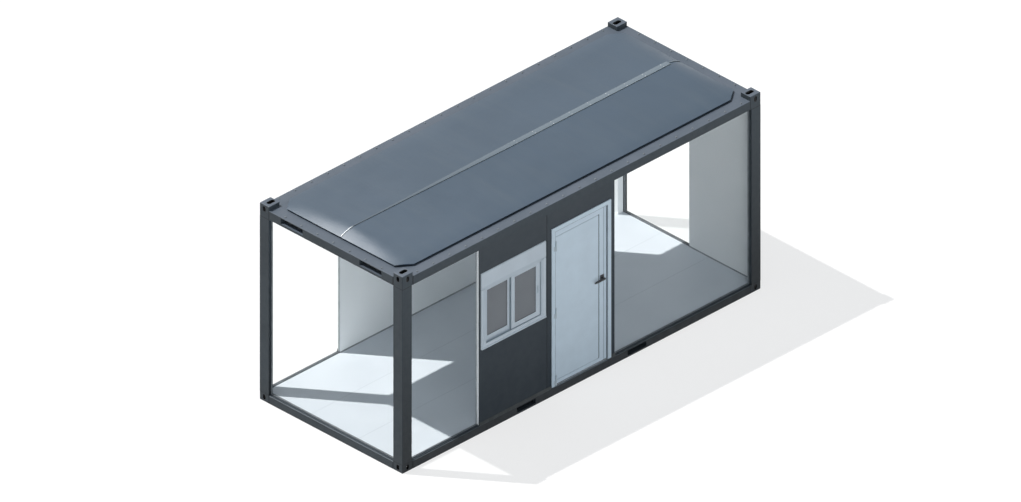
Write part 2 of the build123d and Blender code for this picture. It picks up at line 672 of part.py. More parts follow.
outer_plate = LEAF_FACE - ROSETTE_THICKNESS
inner_plate = leaf_back + ROSETTE_THICKNESS
rosettes = [rosette(outer_plate, LEAF_FACE), rosette(leaf_back, inner_plate)]
save("handle_rosettes", Compound(children=rosettes))
outer_end = outer_plate - NECK_LENGTH
inner_end = inner_plate + NECK_LENGTH
lever = shaft_y(handle_x, outer_end, LEAF_FACE, HANDLE_HEIGHT, NECK_RADIUS)
lever = lever + shaft_y(handle_x, LEAF_FACE, leaf_back, HANDLE_HEIGHT, SPINDLE_RADIUS)
lever = lever + shaft_y(handle_x, leaf_back, inner_end, HANDLE_HEIGHT, NECK_RADIUS)
lever = lever + lever_bar(outer_end, outer_end + LEVER_DEPTH)
lever = lever + lever_bar(inner_end - LEVER_DEPTH, inner_end)
save("door_lever", lever)
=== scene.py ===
import json
import math
from collections import namedtuple

import bpy
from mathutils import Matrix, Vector


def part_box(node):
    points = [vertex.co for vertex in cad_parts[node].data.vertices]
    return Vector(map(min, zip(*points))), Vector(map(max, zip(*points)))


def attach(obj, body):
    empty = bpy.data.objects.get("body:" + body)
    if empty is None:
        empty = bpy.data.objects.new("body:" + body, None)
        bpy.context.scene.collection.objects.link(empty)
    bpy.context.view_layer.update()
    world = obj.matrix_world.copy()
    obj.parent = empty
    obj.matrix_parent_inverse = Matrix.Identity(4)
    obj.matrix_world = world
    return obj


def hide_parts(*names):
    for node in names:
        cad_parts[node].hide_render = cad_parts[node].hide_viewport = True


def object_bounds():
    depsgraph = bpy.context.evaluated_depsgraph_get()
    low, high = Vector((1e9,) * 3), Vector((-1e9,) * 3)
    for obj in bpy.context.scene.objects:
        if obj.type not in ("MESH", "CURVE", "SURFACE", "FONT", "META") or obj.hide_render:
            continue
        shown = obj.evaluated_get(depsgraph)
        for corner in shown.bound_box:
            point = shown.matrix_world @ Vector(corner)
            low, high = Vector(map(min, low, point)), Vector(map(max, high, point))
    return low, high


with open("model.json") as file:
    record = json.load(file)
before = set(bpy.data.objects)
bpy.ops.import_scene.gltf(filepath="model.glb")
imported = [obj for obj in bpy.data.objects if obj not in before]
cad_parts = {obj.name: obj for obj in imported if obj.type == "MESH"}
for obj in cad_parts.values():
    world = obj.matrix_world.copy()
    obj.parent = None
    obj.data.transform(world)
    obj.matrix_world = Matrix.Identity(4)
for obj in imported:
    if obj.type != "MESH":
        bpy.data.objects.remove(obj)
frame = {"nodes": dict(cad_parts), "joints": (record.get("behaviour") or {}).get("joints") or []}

nodes = frame["nodes"]
cad_low, cad_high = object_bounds()

MM = 0.001
LENGTH = round(2 * cad_high.x / MM)
WIDTH = round(2 * cad_high.y / MM)
HALF_LENGTH = LENGTH * MM / 2
HALF_WIDTH = WIDTH * MM / 2

Box = namedtuple("Box", "left front bottom right rear top")


# Places are in millimetres from the steel frame's front left bottom corner.
def from_corner(point):
    """A point of the model as such a place."""
    x, y, z = point
    return round(x / MM + LENGTH / 2, 1), round(y / MM + WIDTH / 2, 1), round(z / MM, 1)


def box_of(node):
    """The box round a solid, as such places."""
    low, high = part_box(node)
    return Box(*from_corner(low), *from_corner(high))


# Steel frame, floor and walls
CASTING = box_of("roof_casting_front_left")
CASTING_LENGTH = CASTING.right
CASTING_WIDTH = CASTING.rear
MID_HEIGHT = CASTING.top * MM / 2
RAIL_TOP = box_of("roof_rail_left").top
FLOOR = box_of("floor_cassette")
COVER = box_of("corner_cover")
POST_DEPTH = LENGTH - COVER.right
FRONT_WALL = box_of("front_wall_window")
RIGHT_WALL = box_of("right_wall")
REAR_WALLS = [box_of(f"rear_wall_{name}") for name in ("left", "middle", "right")]
POST_WIDTH = RIGHT_WALL.front
DECK_TOP = FRONT_WALL.bottom
CEILING = FRONT_WALL.top
JOINT_LINES = [wall.left for wall in REAR_WALLS] + [REAR_WALLS[2].right]
GLASS_SHEETS = [box_of(name) for name in nodes if name.startswith("glass_")]

# Window and door
WINDOW = box_of("window_frame")
LEFT_SASH = box_of("window_sash_left")
RIGHT_SASH = box_of("window_sash_right")
PANES = box_of("window_panes")
DOOR_FRAME = box_of("door_frame")
THRESHOLD = box_of("door_threshold")
DOOR_HEAD = DOOR_FRAME.top - (THRESHOLD.left - DOOR_FRAME.left)
LEAF = box_of("door_leaf")
LEAF_MIDDLE = (LEAF.front + LEAF.rear) / 2
PIVOTS = {joint["name"]: from_corner(joint["pos_m"]) for joint in frame["joints"]}
HINGE_X, HINGE_Y, _ = PIVOTS["door_hinge"]
HANDLE_X, _, HANDLE_Z = PIVOTS["lever_turn"]


def inside(first, last):
    """The whole millimetres next inside a stretch."""
    return math.floor(first) + 1, math.ceil(last) - 1


# The stretches of wall, each with its side of the cabin
WALL_RUNS = (
    ("front", *inside(FRONT_WALL.left, DOOR_FRAME.left)),
    ("front", *inside(DOOR_FRAME.right, JOINT_LINES[2])),
    ("rear", *inside(JOINT_LINES[0], JOINT_LINES[3])),
    ("right", *inside(RIGHT_WALL.front, RIGHT_WALL.rear)),
)

UP = Vector((0, 0, 1))
FORWARD = Vector((0, -1, 0))
INWARD = {"front": Vector((0, 1, 0)), "rear": Vector((0, -1, 0)), "right": Vector((-1, 0, 0))}

# The view and the lamps, in metres. Each direction points from the cabin to the lamp.
VIEW_WIDTH = 12.2554
VIEW_DROP = math.radians(31.5)
VIEW_TURN = math.radians(44.76)
VIEW_CENTRE = Vector((-0.0875, -0.0941, 1.385))
VIEW_DISTANCE = 30
KEY_DIRECTION = Vector((-0.304, 0.407, 0.862))
FILL_DIRECTION = Vector((-0.35, -0.92, 0.12))
SOFTBOX_DIRECTION = Vector((-0.02, 0.53, 0.85)).normalized()
SOFTBOX_TARGET = Vector((-2.9, 0, 2.7))
SOFTBOX_DISTANCE = 20


# Camera, light and floor
def add_camera():
    """A parallel view from above the front left corner."""
    camera = bpy.data.cameras.new("camera")
    camera.type = "ORTHO"
    camera.ortho_scale = VIEW_WIDTH
    camera.clip_end = 200
    viewer = bpy.data.objects.new("camera", camera)
    bpy.context.scene.collection.objects.link(viewer)
    toward = Vector((
        math.sin(VIEW_TURN) * math.cos(VIEW_DROP),
        math.cos(VIEW_TURN) * math.cos(VIEW_DROP),
        -math.sin(VIEW_DROP),
    ))
    viewer.location = VIEW_CENTRE - toward * VIEW_DISTANCE
    viewer.rotation_euler = (math.pi / 2 - VIEW_DROP, 0, -VIEW_TURN)
    bpy.context.scene.camera = viewer


def add_lamp(name, kind, energy, direction):
    """A lamp that shines from a direction."""
    light = bpy.data.lights.new(name, kind)
    light.energy = energy
    lamp = bpy.data.objects.new(name, light)
    bpy.context.scene.collection.objects.link(lamp)
    lamp.rotation_euler = direction.to_track_quat("Z", "Y").to_euler()
    return lamp


def add_lamps():
    """A warm key light, a weak and very broad one from low in front, and a softbox for the roof's sheen."""
    key = add_lamp("key_light", "SUN", 4.3, KEY_DIRECTION)
    key.data.angle = math.radians(0.7)
    key.data.color = (1.0, 0.975, 0.94)

    fill = add_lamp("front_fill", "SUN", 1.1, FILL_DIRECTION)
    fill.data.angle = math.radians(50)
    fill.data.color = (0.93, 0.97, 1.0)

    softbox = add_lamp("softbox", "AREA", 4200, SOFTBOX_DIRECTION)
    softbox.data.shape = "RECTANGLE"
    softbox.data.size = 17.0
    softbox.data.size_y = 9.0
    softbox.location = SOFTBOX_TARGET + SOFTBOX_DIRECTION * SOFTBOX_DISTANCE
    softbox.visible_camera = False
    softbox.visible_diffuse = False


def split_by_ray(tree, lighting, shown, output):
    """Light bounces by one shader, while camera, glossy and transmission rays see another."""
    path = tree.nodes.new("ShaderNodeLightPath")
    seen = path.outputs["Is Camera Ray"]
    for ray in ("Is Glossy Ray", "Is Transmission Ray"):
        either = tree.nodes.new("ShaderNodeMath")
        either.operation = "MAXIMUM"
        tree.links.new(seen, either.inputs[0])
        tree.links.new(path.outputs[ray], either.inputs[1])
        seen = either.outputs[0]
    mix = tree.nodes.new("ShaderNodeMixShader")
    tree.links.new(seen, mix.inputs[0])
    tree.links.new(lighting.outputs[0], mix.inputs[1])
    tree.links.new(shown.outputs[0], mix.inputs[2])
    tree.links.new(mix.outputs[0], output.inputs[0])


def coloured(tree, kind, colour):
    """A shader node with its own colour."""
    shader = tree.nodes.new(kind)
    shader.inputs["Color"].default_value = (*colour, 1)
    return shader


def add_surround():
    """A pale sky that lights the cabin softly, and shows as plain white."""
    world = bpy.data.worlds.new("surround")
    bpy.context.scene.world = world
    world.use_nodes = True
    tree = world.node_tree
    tree.nodes.clear()
    output = tree.nodes.new("ShaderNodeOutputWorld")
    sky = coloured(tree, "ShaderNodeBackground", (0.84, 0.92, 1.0))
    sky.inputs["Strength"].default_value = 0.34
    white = coloured(tree, "ShaderNodeBackground", (1, 1, 1))
    white.inputs["Strength"].default_value = 1.0
    split_by_ray(tree, sky, white, output)


def add_floor():
    """A plain pale floor that keeps the shadow, and reflects less light than it shows."""
    bpy.ops.mesh.primitive_plane_add(size=120, location=(0, 0, -0.001))
    floor = bpy.context.object
    floor.name = "studio_floor"
    material = bpy.data.materials.new("studio_floor")
    material.use_nodes = True
    tree = material.node_tree
    tree.nodes.clear()
    output = tree.nodes.new("ShaderNodeOutputMaterial")
    bounce = coloured(tree, "ShaderNodeBsdfDiffuse", (0.42, 0.43, 0.44))
    matt = coloured(tree, "ShaderNodeBsdfDiffuse", (0.92, 0.93, 0.94))
    lift = coloured(tree, "ShaderNodeEmission", (1, 1, 1))
    pale = tree.nodes.new("ShaderNodeMixShader")
    pale.inputs[0].default_value = 0.74
    tree.links.new(matt.outputs[0], pale.inputs[1])
    tree.links.new(lift.outputs[0], pale.inputs[2])
    split_by_ray(tree, bounce, pale, output)
    floor.data.materials.append(material)


# Finishes
class Finish:
    """One node material, with short calls for the nodes it is made of."""

    def __init__(self, name, roughness=0.5, specular=0.3, metallic=0.0):
        self.material = bpy.data.materials.new(name)
        self.material.use_nodes = True
        self.tree = self.material.node_tree
        self.shader = self.tree.nodes["Principled BSDF"]
        self.shader.inputs["Roughness"].default_value = roughness
        self.shader.inputs["Specular IOR Level"].default_value = specular
        self.shader.inputs["Metallic"].default_value = metallic
        self.place = self.node("ShaderNodeTexCoord")

    def node(self, kind, **values):
        made = self.tree.nodes.new(kind)
        for key, value in values.items():
            setattr(made, key, value)
        return made

    def join(self, source, target):
        self.tree.links.new(source, target)

    def noise(self, scale, detail, stretch=(1, 1, 1)):
        """Even noise about 0.5 in object space."""
        mapping = self.node("ShaderNodeMapping")
        mapping.inputs["Scale"].default_value = stretch
        self.join(self.place.outputs["Object"], mapping.inputs["Vector"])
        noise = self.node("ShaderNodeTexNoise")
        noise.inputs["Scale"].default_value = scale
        noise.inputs["Detail"].default_value = detail
        self.join(mapping.outputs[0], noise.inputs["Vector"])
        return noise.outputs["Fac"]

    def spread(self, value, low, high, low_to=0.0, high_to=1.0):
        """Maps a number from one range to another, and stops at the ends."""
        ramp = self.node("ShaderNodeMapRange")
        ramp.inputs["From Min"].default_value = low
        ramp.inputs["From Max"].default_value = high
        ramp.inputs["To Min"].default_value = low_to
        ramp.inputs["To Max"].default_value = high_to
        self.join(value, ramp.inputs["Value"])
        return ramp.outputs["Result"]

    def fade(self, value, low, high):
        """1 below a range, and 0 above it."""
        return self.spread(value, low, high, 1.0, 0.0)

    def cloud(self, scale, detail):
        """Soft clouds from 0 to 1."""
        return self.spread(self.noise(scale, detail), 0.35, 0.65)

    def times(self, first, second):
        product = self.node("ShaderNodeMath", operation="MULTIPLY")
        self.join(first, product.inputs[0])
        if isinstance(second, float):
            product.inputs[1].default_value = second
        else:
            self.join(second, product.inputs[1])
        return product.outputs[0]

    def either(self, first, second, kind="MAXIMUM"):
        """The larger of two numbers, or the smaller with MINIMUM."""
        choice = self.node("ShaderNodeMath", operation=kind)
        self.join(first, choice.inputs[0])
        self.join(second, choice.inputs[1])
        return choice.outputs[0]

    def axis(self, name):
        """The place along an axis in metres."""
        split = self.node("ShaderNodeSeparateXYZ")
        self.join(self.place.outputs["Object"], split.inputs[0])
        return split.outputs[name]

    def height(self):
        """Height above the ground in metres."""
        return self.axis("Z")

    def distance(self, axis, middle=0.0):
        """Distance from a plane across an axis, in metres."""
        offset = self.node("ShaderNodeMath", operation="SUBTRACT")
        offset.inputs[1].default_value = middle
        self.join(self.axis(axis), offset.inputs[0])
        size = self.node("ShaderNodeMath", operation="ABSOLUTE")
        self.join(offset.outputs[0], size.inputs[0])
        return size.outputs[0]

    def facing(self, axis):
        """The part of the surface's own normal along an axis."""
        split = self.node("ShaderNodeSeparateXYZ")
        self.join(self.place.outputs["Normal"], split.inputs[0])
        return split.outputs[axis]

    def blend(self, share, first, second):
        """A colour between two, each a colour or a socket."""
        mix = self.node("ShaderNodeMix", data_type="RGBA")
        self.join(share, mix.inputs[0])
        for source, socket in ((first, mix.inputs[6]), (second, mix.inputs[7])):
            if isinstance(source, tuple):
                socket.default_value = (*source, 1)
            else:
                self.join(source, socket)
        return mix.outputs[2]

    def mottle(self, scale, detail, first, second):
        """Two colours in soft clouds."""
        return self.blend(self.cloud(scale, detail), first, second)

    def colour(self, source):
        self.join(source, self.shader.inputs["Base Color"])

    def over(self, share, coat):
        """Lays a coat over the colour so far, by a share from 0 to 1."""
        below = self.shader.inputs["Base Color"].links[0].from_socket
        self.colour(self.blend(share, below, coat))

    def rough(self, scale, detail, low, high):
        """A roughness that wanders between two values."""
        share = self.spread(self.noise(scale, detail), 0.3, 0.7, low, high)
        self.join(share, self.shader.inputs["Roughness"])

    def grain(self, scale, detail, depth, strength):
        """Fine relief, with its depth in metres."""
        relief = self.node("ShaderNodeBump")
        relief.inputs["Distance"].default_value = depth
        relief.inputs["Strength"].default_value = strength
        self.join(self.noise(scale, detail), relief.inputs["Height"])
        self.join(relief.outputs[0], self.shader.inputs["Normal"])


STEEL = (0.032, 0.042, 0.051)
# Dust on faces of the steel that look up, made lighter also as painted sheen where the tops catch the
# light.
STEEL_DUST_AND_SHEEN = ((0.069, 0.088, 0.114), (0.082, 0.101, 0.130))
# Pale steel: the bolts' own colour, and the painted highlight along the base rails' outer top edge.
PALE_STEEL_AND_HIGHLIGHT = (0.125, 0.145, 0.165)
LINING_WHITE = ((0.84, 0.865, 0.88), (0.87, 0.89, 0.905))
DOOR_WHITE = (0.62, 0.725, 0.81)


def shaded(colour, factor):
    return tuple(part * factor for part in colour)


def frame_paint(name, joint_axis=None, joints=()):
    """Dark blue-grey satin paint: painted shade on faces that look forward, dirtier near the ground, dark
    in the welded joints, a painted highlight on the base rails' outer top edge, and dust with painted sheen
    on top.
    """
    finish = Finish(name, specular=0.25)
    height = finish.height()
    finish.colour(finish.mottle(2.2, 5, shaded(STEEL, 0.82), STEEL))

    # Painted shade: faces that look forward are painted darker, darkest near the ground and lighter towards
    # the top.
    front_shade = finish.blend(finish.spread(height, 0.1, 2.7), shaded(STEEL, 0.40), shaded(STEEL, 1.3))
    finish.over(finish.fade(finish.facing("Y"), -0.9, -0.5), front_shade)
    low = finish.spread(height, 0.0, 0.5, 0.6, 0.0)
    grime = finish.times(low, finish.spread(finish.noise(9, 6), 0.4, 0.7))
    finish.over(grime, (0.030, 0.036, 0.042))
    for joint in joints:
        finish.over(finish.fade(finish.distance(joint_axis, joint), 0.005, 0.008), (0.006, 0.008, 0.010))

    # A painted highlight along the outer top edge of the base rails, then dust and painted sheen on
    # everything that looks up
    rim = finish.either(
        finish.spread(finish.distance("X"), HALF_LENGTH - 0.012, HALF_LENGTH - 0.009),
        finish.spread(finish.distance("Y"), HALF_WIDTH - 0.012, HALF_WIDTH - 0.009),
    )
    level = finish.spread(finish.facing("Z"), 0.6, 0.95)
    low_edge_highlight = finish.times(finish.times(rim, level), finish.fade(height, 0.2, 0.3))
    finish.over(low_edge_highlight, PALE_STEEL_AND_HIGHLIGHT)
    # Dust and painted sheen: faces that look up are painted lighter, more so higher up.
    dust = finish.times(level, finish.spread(height, 0.2, 1.5, 0.12, 1.0))
    finish.over(dust, finish.mottle(3.1, 5, *STEEL_DUST_AND_SHEEN))
    finish.rough(14, 4, 0.46, 0.6)
    finish.grain(420, 2, 0.0004, 0.25)
    return finish


def casting_finish():
    """The frame's paint on a casting, and near black inside its hollow, as painted shade."""
    finish = frame_paint("casting_paint")
    hollow = finish.fade(finish.distance("Z", MID_HEIGHT), MID_HEIGHT - 0.009, MID_HEIGHT - 0.007)
    for axis, half, size in (("X", HALF_LENGTH, CASTING_LENGTH), ("Y", HALF_WIDTH, CASTING_WIDTH)):
        away = finish.distance(axis)
        inner = half - (size - 8) * MM
        outer = half - 0.009
        hollow = finish.times(hollow, finish.spread(away, inner, inner + 0.002))
        hollow = finish.times(hollow, finish.fade(away, outer - 0.002, outer))
    # Painted shade: the cavity behind the slots is painted near black.
    finish.over(hollow, (0.003, 0.004, 0.005))
    return finish.material


def skin_finish(name, axis, sign, lining_shade=1.0):
    """Sandwich panel: a dark outer skin, painted darker towards the bottom as shade, and a light inner skin
    and edges, which a factor can paint darker as shade.
    """
    finish = Finish(name, specular=0.2)
    finish.colour(finish.mottle(
        3, 3, shaded((0.86, 0.885, 0.895), lining_shade), shaded((0.885, 0.905, 0.915), lining_shade),
    ))
    # Painted shade: the outer skin darkens towards the bottom and lightens towards the top.
    shade_climb = finish.spread(finish.height(), 0.2, 2.5)
    dark = finish.blend(shade_climb, (0.018, 0.027, 0.036), (0.048, 0.059, 0.070))
    dark = finish.blend(finish.times(finish.cloud(1.6, 4), 0.25), dark, (0.045, 0.055, 0.066))
    finish.over(finish.spread(finish.times(finish.facing(axis), sign), 0.3, 0.6), dark)
    finish.rough(11, 4, 0.5, 0.62)
    finish.grain(300, 2, 0.0003, 0.2)
    return finish.material


def light_lining():
    """Light grey coated sheet, as on the cover strips and the corner cover."""
    finish = Finish("light_lining", specular=0.25)
    finish.colour(finish.mottle(3, 3, *LINING_WHITE))
    finish.rough(11, 4, 0.5, 0.62)
    finish.grain(300, 2, 0.0003, 0.2)
    return finish.material


def cassette_finish():
    """Ceiling lining below; above it the rails' tone of dust and painted sheen on faces that look up, and
    near-black painted shade on the kerb under the roof sheet.
    """
    finish = Finish("roof_cassette_finish", specular=0.2)
    finish.colour(finish.mottle(3, 3, *LINING_WHITE))
    level = finish.spread(finish.facing("Z"), 0.6, 0.95)
    # Painted shade on the kerb's upright faces, and dust with painted sheen on faces that look up.
    kerb_shade_and_sheen = finish.blend(level, (0.012, 0.016, 0.02), finish.mottle(3.1, 5, *STEEL_DUST_AND_SHEEN))
    finish.over(finish.spread(finish.height(), 2.66, 2.67), kerb_shade_and_sheen)
    finish.rough(11, 4, 0.5, 0.62)
    return finish.material


def roof_finish():
    """Blue-grey coated roof sheet with rain marks that run down from the ridge."""
    finish = Finish("roof_sheet_finish", specular=0.45)
    finish.colour(finish.mottle(0.9, 4, (0.031, 0.056, 0.087), (0.037, 0.064, 0.098)))
    marks = finish.noise(7, 5, stretch=(1.0, 0.12, 1.0))
    finish.over(finish.spread(marks, 0.45, 0.75, 0.0, 0.35), (0.050, 0.075, 0.102))
    finish.rough(5, 4, 0.32, 0.40)
    finish.grain(160, 3, 0.0005, 0.2)
    return finish.material


def ridge_finish():
    """The ridge cap: a painted glint where it rolls down at the left, a painted sheen that grows paler
    towards the right, and painted shade, near black, on its side faces.
    """
    finish = Finish("ridge_cap_finish", specular=0.4)
    along = finish.axis("X")
    # Painted sheen: the cap's top grows paler towards the right.
    top = finish.blend(finish.spread(along, -2.4, 1.2), (0.056, 0.080, 0.106), (0.125, 0.160, 0.192))
    # Painted glint on the rolled-down left end.
    top = finish.blend(finish.fade(along, -2.69, -2.66), top, (0.62, 0.66, 0.70))
    level = finish.spread(finish.facing("Z"), 0.5, 0.8)
    # Painted shade: faces that do not look up are near black.
    finish.colour(finish.blend(level, (0.010, 0.014, 0.018), top))
    finish.rough(9, 4, 0.36, 0.46)
    finish.grain(160, 3, 0.0005, 0.2)
    return finish.material


def floor_covering():
    """Grey sheet flooring with fine flecks and two welded seams along the cabin."""
    finish = Finish("floor_covering", specular=0.25)
    finish.colour(finish.mottle(1.4, 4, (0.585, 0.628, 0.680), (0.625, 0.668, 0.720)))
    flecks = finish.spread(finish.noise(170, 2), 0.62, 0.7)
    finish.over(finish.times(flecks, 0.5), (0.40, 0.43, 0.48))
    nearer = finish.either(finish.distance("Y", 0.40), finish.distance("Y", -0.40), "MINIMUM")
    finish.over(finish.spread(nearer, 0.0015, 0.003, 0.7, 0.0), (0.33, 0.37, 0.42))
    finish.rough(20, 4, 0.42, 0.58)
    finish.grain(260, 3, 0.0004, 0.2)
    return finish.material


def underfloor_finish():
    """Grey coated sheet below the floor, with road dust."""
    finish = Finish("underfloor_finish", specular=0.2)
    finish.colour(finish.mottle(4, 5, (0.10, 0.11, 0.12), (0.15, 0.16, 0.165)))
    finish.rough(14, 4, 0.55, 0.75)
    finish.grain(90, 4, 0.0008, 0.3)
    return finish.material


def white_paint(name, tone, roughness, specular, grain):
    """A cool white surface with slight clouding and light dust."""
    finish = Finish(name, specular=specular)
    finish.colour(finish.mottle(5, 5, shaded(tone, 0.965), shaded(tone, 1.015)))
    finish.rough(16, 4, roughness - 0.05, roughness + 0.07)
    finish.grain(grain, 2, 0.0003, 0.15)
    return finish


def leaf_finish(name, tone):
    """The door leaf's cool white paint, with painted shade on the floors of the pressed grooves, darkest on
    the lock side.
    """
    finish = white_paint(name, tone, 0.48, 0.3, 380)
    depth = finish.spread(finish.axis("Y"), -1.2005, -1.1935)
    outward = finish.fade(finish.facing("Y"), -0.7, -0.3)
    lock_side = finish.spread(finish.axis("X"), 0.28, 0.29)
    groove_shade = finish.blend(lock_side, shaded(tone, 0.5), shaded(tone, 0.1))
    # Painted shade in the grooves' floors, on faces that look out.
    finish.over(finish.times(depth, outward), groove_shade)
    return finish.material


def dark_finish(name, tone, roughness, specular):
    """Plain paint, rubber or plastic with slight clouding."""
    finish = Finish(name, specular=specular)
    finish.colour(finish.mottle(12, 4, shaded(tone, 0.85), shaded(tone, 1.2)))
    finish.rough(40, 3, roughness - 0.05, roughness + 0.08)
    finish.grain(500, 2, 0.0002, 0.2)
    return finish.material


def channel_finish():
    """Glazing channels: dark, with the uprights beside the walls painted light grey as painted sunlight;
    those beside the posts stay dark.
    """
    finish = Finish("channel_paint", specular=0.3)
    height = finish.height()
    above_floor = finish.spread(height, DECK_TOP * MM + 0.010, DECK_TOP * MM + 0.016)
    below_ceiling = finish.fade(height, CEILING * MM - 0.014, CEILING * MM - 0.008)
    beside_post = finish.either(
        finish.spread(finish.distance("X"), 2.82, 2.84), finish.spread(finish.distance("Y"), 1.00, 1.02),
        "MINIMUM",
    )
    lit_upright = finish.times(finish.times(above_floor, below_ceiling), finish.fade(beside_post, 0.0, 1.0))
    finish.colour(finish.mottle(12, 4, (0.040, 0.050, 0.060), (0.055, 0.066, 0.078)))
    # Painted light: uprights beside the walls are light grey where the sun falls on them.
    finish.over(lit_upright, finish.mottle(6, 4, (0.66, 0.69, 0.71), (0.74, 0.77, 0.79)))
    finish.rough(40, 3, 0.42, 0.55)
    finish.grain(500, 2, 0.0002, 0.2)
    return finish.material


def metal_finish(name, tone, roughness):
    """Bare or plated metal with light brushing marks."""
    finish = Finish(name, specular=0.5, metallic=0.8)
    finish.colour(finish.mottle(60, 4, shaded(tone, 0.85), shaded(tone, 1.1)))
    finish.rough(90, 3, roughness - 0.06, roughness + 0.1)
    finish.grain(700, 2, 0.0001, 0.2)
    return finish.material


def clear_glass():
    """Clear sheet: nearly all see-through, with a faint mirror at low angles."""
    finish = Finish("clear_glass")
    finish.tree.nodes.remove(finish.shader)
    through = coloured(finish.tree, "ShaderNodeBsdfTransparent", (0.994, 0.999, 0.998))
    mirror = coloured(finish.tree, "ShaderNodeBsdfGlossy", (0.9, 0.95, 0.95))
    mirror.inputs["Roughness"].default_value = 0.02
    angle = finish.node("ShaderNodeLayerWeight")
    angle.inputs["Blend"].default_value = 0.5
    steep = finish.node("ShaderNodeMath", operation="POWER")
    steep.inputs[1].default_value = 5.0
    finish.join(angle.outputs["Facing"], steep.inputs[0])
    mix = finish.node("ShaderNodeMixShader")
    finish.join(finish.spread(steep.outputs[0], 0.0, 1.0, 0.004, 0.5), mix.inputs[0])
    finish.join(through.outputs[0], mix.inputs[1])
    finish.join(mirror.outputs[0], mix.inputs[2])
    finish.join(mix.outputs[0], finish.tree.nodes["Material Output"].inputs["Surface"])
    return finish.material


def window_glazing():
    """Grey double glazing, which hides most of the room."""
    finish = Finish("window_glazing", roughness=0.06, specular=0.4)
    finish.colour(finish.mottle(2, 3, (0.175, 0.19, 0.21), (0.20, 0.215, 0.235)))
    finish.shader.inputs["Alpha"].default_value = 0.72
    return finish.material


POST_JOINTS = (DECK_TOP * MM, CEILING * MM)
LONG_RAIL_JOINTS = (CASTING_LENGTH * MM - HALF_LENGTH, HALF_LENGTH - CASTING_LENGTH * MM)
SHORT_RAIL_JOINTS = (CASTING_WIDTH * MM - HALF_WIDTH, HALF_WIDTH - CASTING_WIDTH * MM)

casting_coat = casting_finish()
post_coat = frame_paint("post_paint", "Z", POST_JOINTS).material
long_rail_coat = frame_paint("long_rail_paint", "X", LONG_RAIL_JOINTS).material
short_rail_coat = frame_paint("short_rail_paint", "Y", SHORT_RAIL_JOINTS).material
front_skin = skin_finish("front_panel_skin", "Y", -1.0)
rear_skin = skin_finish("rear_panel_skin", "Y", 1.0)
# The right wall's inner skin is painted darker than the other linings, as painted shade.
right_skin = skin_finish("right_panel_skin", "X", 1.0, 0.87)
lining = light_lining()
flooring = floor_covering()
underside = underfloor_finish()
window_white = white_paint("window_profile_white", (0.55, 0.615, 0.675), 0.42, 0.3, 240).material
door_white = white_paint("door_paint_white", DOOR_WHITE, 0.48, 0.3, 380).material
hinge_paint = white_paint("hinge_paint", (0.50, 0.57, 0.62), 0.4, 0.4, 300).material
threshold_paint = dark_finish("threshold_paint", (0.10, 0.12, 0.14), 0.45, 0.3)
flashing_paint = dark_finish("flashing_paint", (0.044, 0.050, 0.052), 0.5, 0.25)
bolt_paint = dark_finish("bolt_paint", PALE_STEEL_AND_HIGHLIGHT, 0.42, 0.4)
# Near black on the slots' rims: painted shade.
slot_shade_paint = dark_finish("slot_rim_painted_shade", (0.020, 0.024, 0.029), 0.5, 0.35)
# Near black in the fork tunnels: painted shade.
pocket_shade_paint = dark_finish("pocket_shade_paint", (0.022, 0.028, 0.034), 0.55, 0.25)
# Grey of the bead round the door opening, darker than the frame as a painted shade line.
bead_shade_grey = dark_finish("bead_shade_grey", (0.34, 0.40, 0.45), 0.5, 0.3)
# Near black in the cable sockets: painted shade.
socket_shade_grey = dark_finish("socket_shade_grey", (0.022, 0.025, 0.029), 0.5, 0.3)
# Grey of the sash seals, which also stands in for the shadow lines round the sashes: painted shade.
seal_and_shade_grey = dark_finish("seal_and_shade_grey", (0.20, 0.25, 0.28), 0.6, 0.2)
grey_sealant = dark_finish("grey_sealant", (0.26, 0.28, 0.30), 0.6, 0.2)
handle_black = dark_finish("handle_black", (0.018, 0.02, 0.024), 0.34, 0.5)
rubber = dark_finish("seal_rubber", (0.02, 0.022, 0.026), 0.7, 0.2)
zinc = metal_finish("zinc_plate", (0.62, 0.64, 0.66), 0.38)


def paint_nodes():
    """Gives every solid of the cabin its finish, by name or by the start of its name."""
    by_name = {
        "corner_posts": post_coat,
        "corner_cover": lining,
        "floor_cassette": underside,
        "floor_deck": flooring,
        "roof_cassette": cassette_finish(),
        "roof_sheet": roof_finish(),
        "ridge_cap": ridge_finish(),
        "right_wall": right_skin,
        "glazing_channels": channel_finish(),
        "window_panes": window_glazing(),
        "door_frame": door_white,
        "door_threshold": threshold_paint,
        "door_leaf": leaf_finish("door_leaf_white", DOOR_WHITE),
        "handle_rosettes": handle_black,
        "door_lever": handle_black,
    }
    for side in ("front", "rear"):
        by_name[f"base_rail_{side}"] = by_name[f"roof_rail_{side}"] = long_rail_coat
    for side in ("left", "right"):
        by_name[f"base_rail_{side}"] = by_name[f"roof_rail_{side}"] = short_rail_coat
    by_start = {
        "base_casting": casting_coat,
        "roof_casting": casting_coat,
        "front_wall": front_skin,
        "rear_wall": rear_skin,
        "glass": clear_glass(),
        "window": window_white,
        "hinge": hinge_paint,
    }
    for name, piece in nodes.items():
        coat = by_name.get(name)
        if coat is None:
            coat = next(coat for start, coat in by_start.items() if name.startswith(start))
        if not piece.material_slots:
            piece.data.materials.append(coat)
        for holder in piece.material_slots:
            holder.material = coat


# Shaping: a piece starts as a primitive at its size and place, and is worked in edit mode.
# Sizes and places are in millimetres.
def place(x, y, z):
    """A place on the cabin, in metres from the frame's middle."""
    return Vector((x * MM - HALF_LENGTH, y * MM - HALF_WIDTH, z * MM))


def work_on(piece):
    bpy.ops.object.select_all(action="DESELECT")
    piece.select_set(True)
    bpy.context.view_layer.objects.active = piece


